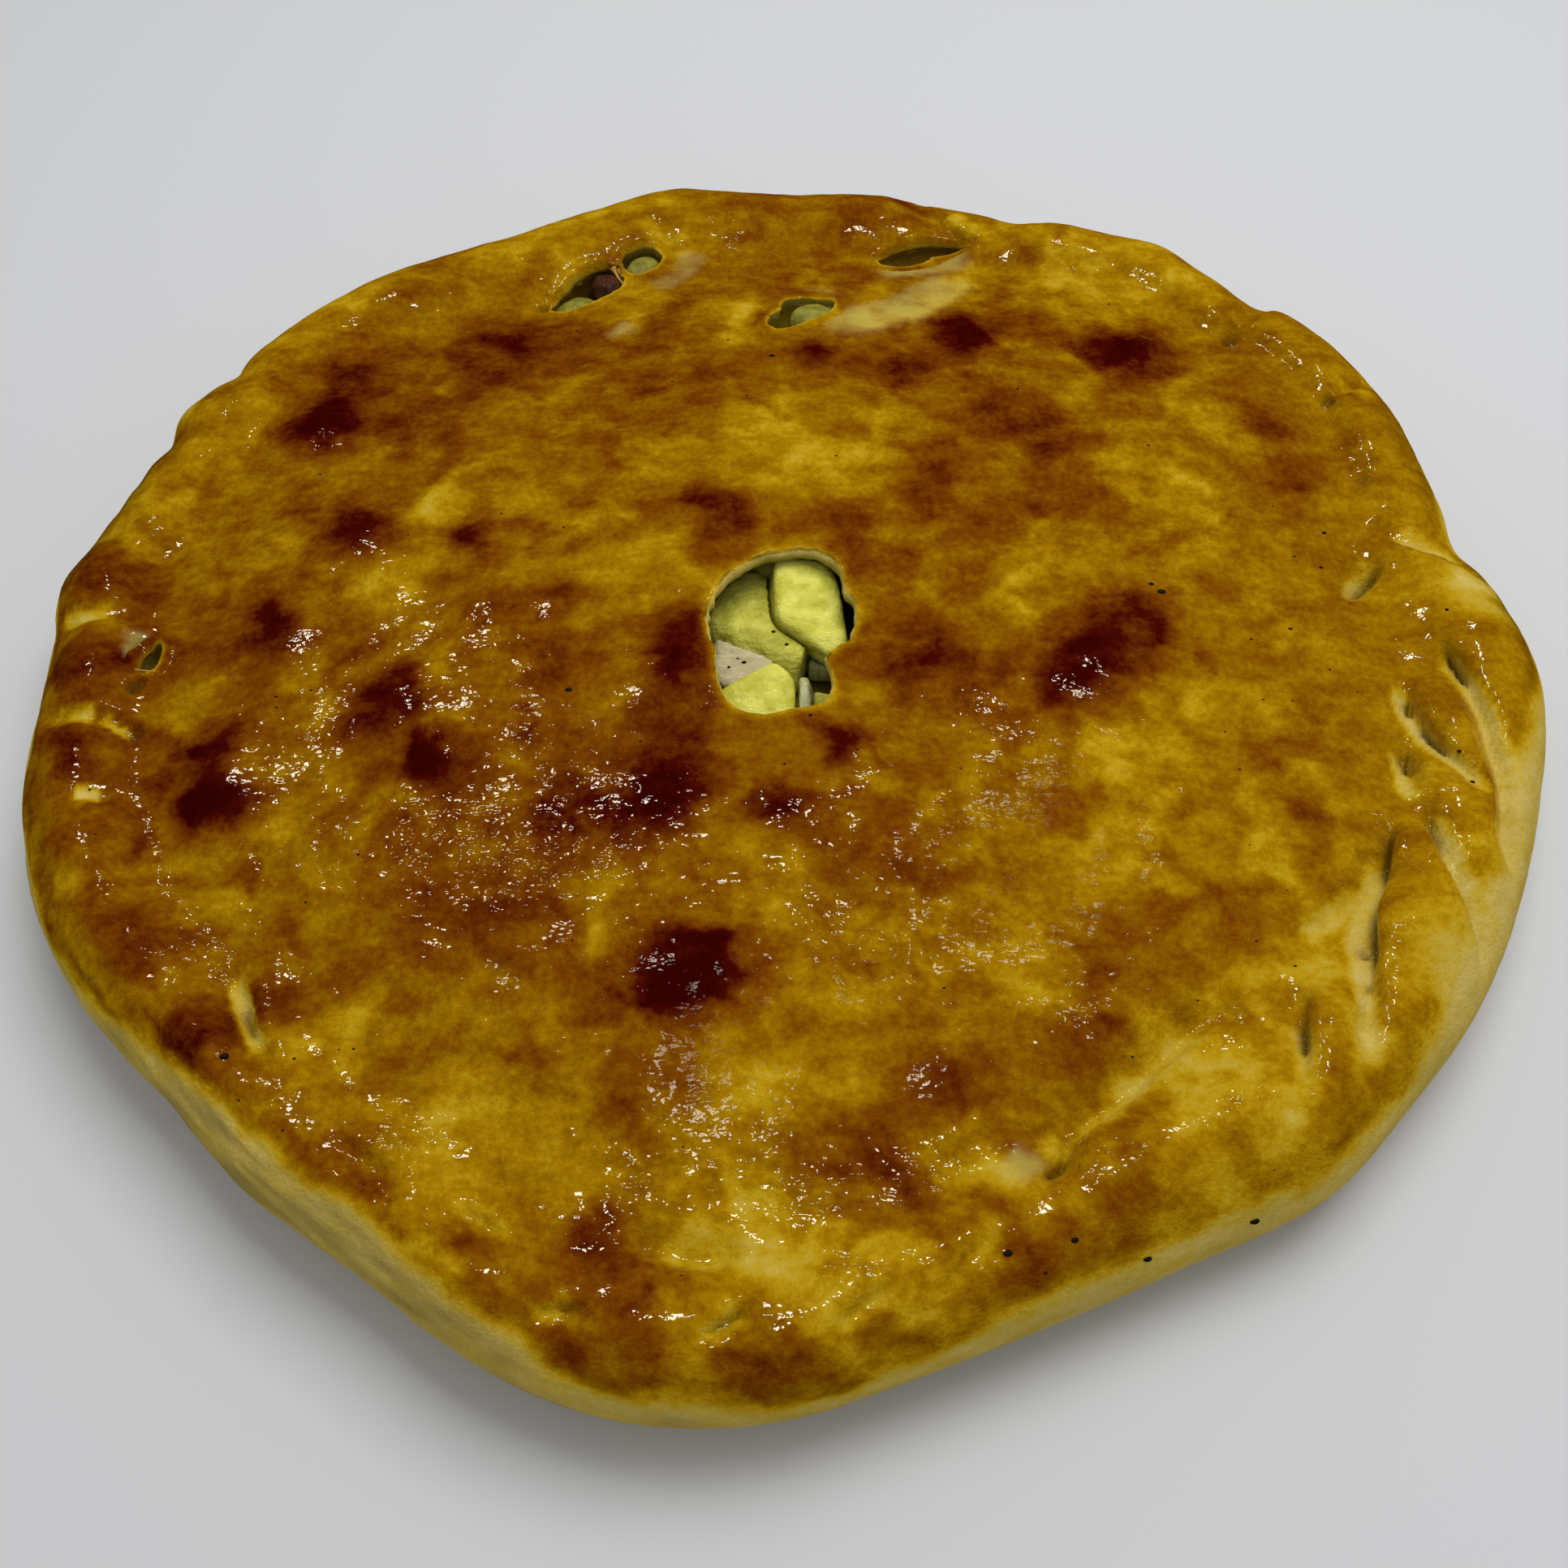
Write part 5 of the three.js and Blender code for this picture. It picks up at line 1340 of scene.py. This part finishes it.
spread = np.random.default_rng(GRAIN_SEED).random((FINE_GRAINS, 3))
fine_grains = ring(360 * spread[:, 1], FINE_NEAR + FINE_REACH * np.sqrt(spread[:, 0]))
fine_grains[:, 2] = FINE_RADIUS + FINE_RADIUS_MORE * spread[:, 2]
grain_x, grain_y, grain_radii = np.concatenate([BIG_GRAINS, fine_grains]).T
on_filling = np.array(HOLE_GRAINS)
centres = np.concatenate([skin_point(grain_x, grain_y), on_filling[:, :3]])
pepper = new_mesh("pepper_grains", *pebbles(centres, np.concatenate([grain_radii, on_filling[:, 3]])))
pepper_finish = Finish("black_pepper", Roughness=0.6)
pepper_finish.set("Base Color", pepper_finish.mix(pepper_finish.noise(0.3), seen(30, 22, 14), seen(8, 6, 5)))
pepper.data.materials.append(pepper_finish.material)
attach(pepper, "root")
print("pepper grains:", len(centres))

# %% [markdown]
# ## Strands of dough
# Where dough tears slowly, thin strands stay stretched across the gap. Each is a tube along a
# path, thick at its ends and thin in the middle, whose ends run into the crust.

# %% Strands across the tears
STRAND_STEPS, STRAND_SIDES = 24, 10
STRANDS = [                         # tear, start and end in its frame, sag, radius at the ends
    ("left_slit", (-3.3, 3.6, -0.2), (-3.2, -1.6, 0.0), 0.1, 0.45),
    ("back_left", (9.2, 3.2, -0.9), (8.2, -3.6, -0.4), 0.8, 0.9),
    ("back_left", (10.0, 2.4, -1.0), (9.2, -2.8, -0.5), 1.0, 0.6),
]


def strand(tear, start, end, sag, radius):
    """A sagging line with a radius of r * (0.35 + 0.65 * (2 t - 1) ^ 4), in rings round it."""
    place, along, _, _ = TEARS[tear]
    origin, axes = skin_frame(place, along)
    t = np.linspace(0, 1, STRAND_STEPS)[:, None]
    line = (1 - t) * np.array(start) + t * np.array(end) - np.array([0, 0, sag]) * 4 * t * (1 - t)
    ahead = np.gradient(line, axis=0)
    ahead /= np.linalg.norm(ahead, axis=1)[:, None]
    side = np.cross(ahead, [0, 0, 1])
    side /= np.linalg.norm(side, axis=1)[:, None]
    up = np.cross(side, ahead)
    turn = (np.arange(STRAND_SIDES) * 2 * np.pi / STRAND_SIDES)[None, :, None]
    thick = (radius * (0.35 + 0.65 * (2 * t - 1) ** 4))[:, None]
    rings = line[:, None] + thick * (np.cos(turn) * side[:, None] + np.sin(turn) * up[:, None])
    points = np.concatenate([line[:1], rings.reshape(-1, 3), line[-1:]])
    return origin + points @ axes


strand_points = [strand(*row) for row in STRANDS]
strand_faces = repeated(*join_rings([STRAND_SIDES] * STRAND_STEPS), len(STRANDS), len(strand_points[0]))
strands = new_mesh("dough_strands", np.concatenate(strand_points), *strand_faces)
strand_finish = Finish("stretched_dough", Roughness=0.4, Coat_Roughness=0.1, Coat_Weight=0.7)
strand_colour = strand_finish.mix(strand_finish.noise(1.5), seen(196, 160, 70), seen(170, 120, 30))
strand_finish.set("Base Color", strand_colour)
strand_finish.set("Normal", strand_finish.relief(strand_finish.noise(0.6), 0.1))
strands.data.materials.append(strand_finish.material)
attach(strands, "root")
print("strands:", len(STRANDS))

# %% [markdown]
# ## Floor and light
# The floor is plain and pale. One large soft lamp high behind and to the right throws a weak
# shadow to the lower left, and an even sky fills the rest. Both are kept out of the reflections,
# since a grey film over the crust would hide its deep colour. The glints come from a few small
# lamps instead.

# %% Floor
FLOOR_SIZE = 4000                   # only views from low down reach its edge
FLOOR_GAP = 0.3                     # under the flat base
floor_corners = np.array([[-1, -1, 0], [1, -1, 0], [1, 1, 0], [-1, 1, 0]]) * FLOOR_SIZE / 2
floor_corners -= [0, 0, FLOOR_GAP]
floor = new_mesh("floor", floor_corners, np.array([[0, 1, 2, 3]]), np.zeros((0, 3), int))
floor_finish = Finish("pale_floor", Roughness=0.7, Specular_IOR_Level=0.2, Base_Color=seen(202, 203, 205))
floor.data.materials.append(floor_finish.material)
floor.visible_glossy = False        # else the glaze would mirror a grey film of it
print("floor", FLOOR_SIZE / 1000, "m wide")

# %% Lamps
SKY = 0.50
KEY_LAMP = ((170, 230, 900), 600, 6.2)              # place, size, watts
GLINT_LAMPS = [                     # place, size, watts
    ((-40, 30, 900), 90, 0.6), ((-380, 480, 860), 80, 0.45), ((300, 330, 900), 80, 0.5),
]
GLINT_COLOUR = (1.0, 0.94, 0.76)
LAMP_TARGET = (0, 0, 20)            # the middle of the pie


def lamp(name, place, size, watts):
    """A square soft lamp that looks at the middle of the pie."""
    data = bpy.data.lights.new(name, "AREA")
    data.size, data.energy = size * MM, watts
    made = bpy.data.objects.new(name, data)
    made.location = [MM * c for c in place]
    x, y, z = np.array(LAMP_TARGET) - np.array(place)
    across = math.atan2(x, -y)
    tilt = math.atan2(math.hypot(x, y), -z)
    made.rotation_euler = (-tilt, 0, across)
    bpy.context.scene.collection.objects.link(made)
    return made


key = lamp("key_lamp", *KEY_LAMP)
key.visible_glossy = False
for number, row in enumerate(GLINT_LAMPS):
    glint = lamp(f"glint_lamp_{number}", *row)
    glint.visible_diffuse = False
    glint.data.color = GLINT_COLOUR
world = bpy.data.worlds.new("sky")
world.use_nodes = True
world.node_tree.nodes["Background"].inputs["Color"].default_value = (1.0, 1.0, 1.0, 1.0)
world.node_tree.nodes["Background"].inputs["Strength"].default_value = SKY
world.cycles_visibility.glossy = False
bpy.context.scene.world = world
bpy.context.scene.view_settings.view_transform = "Standard"
print("lamps:", 1 + len(GLINT_LAMPS))
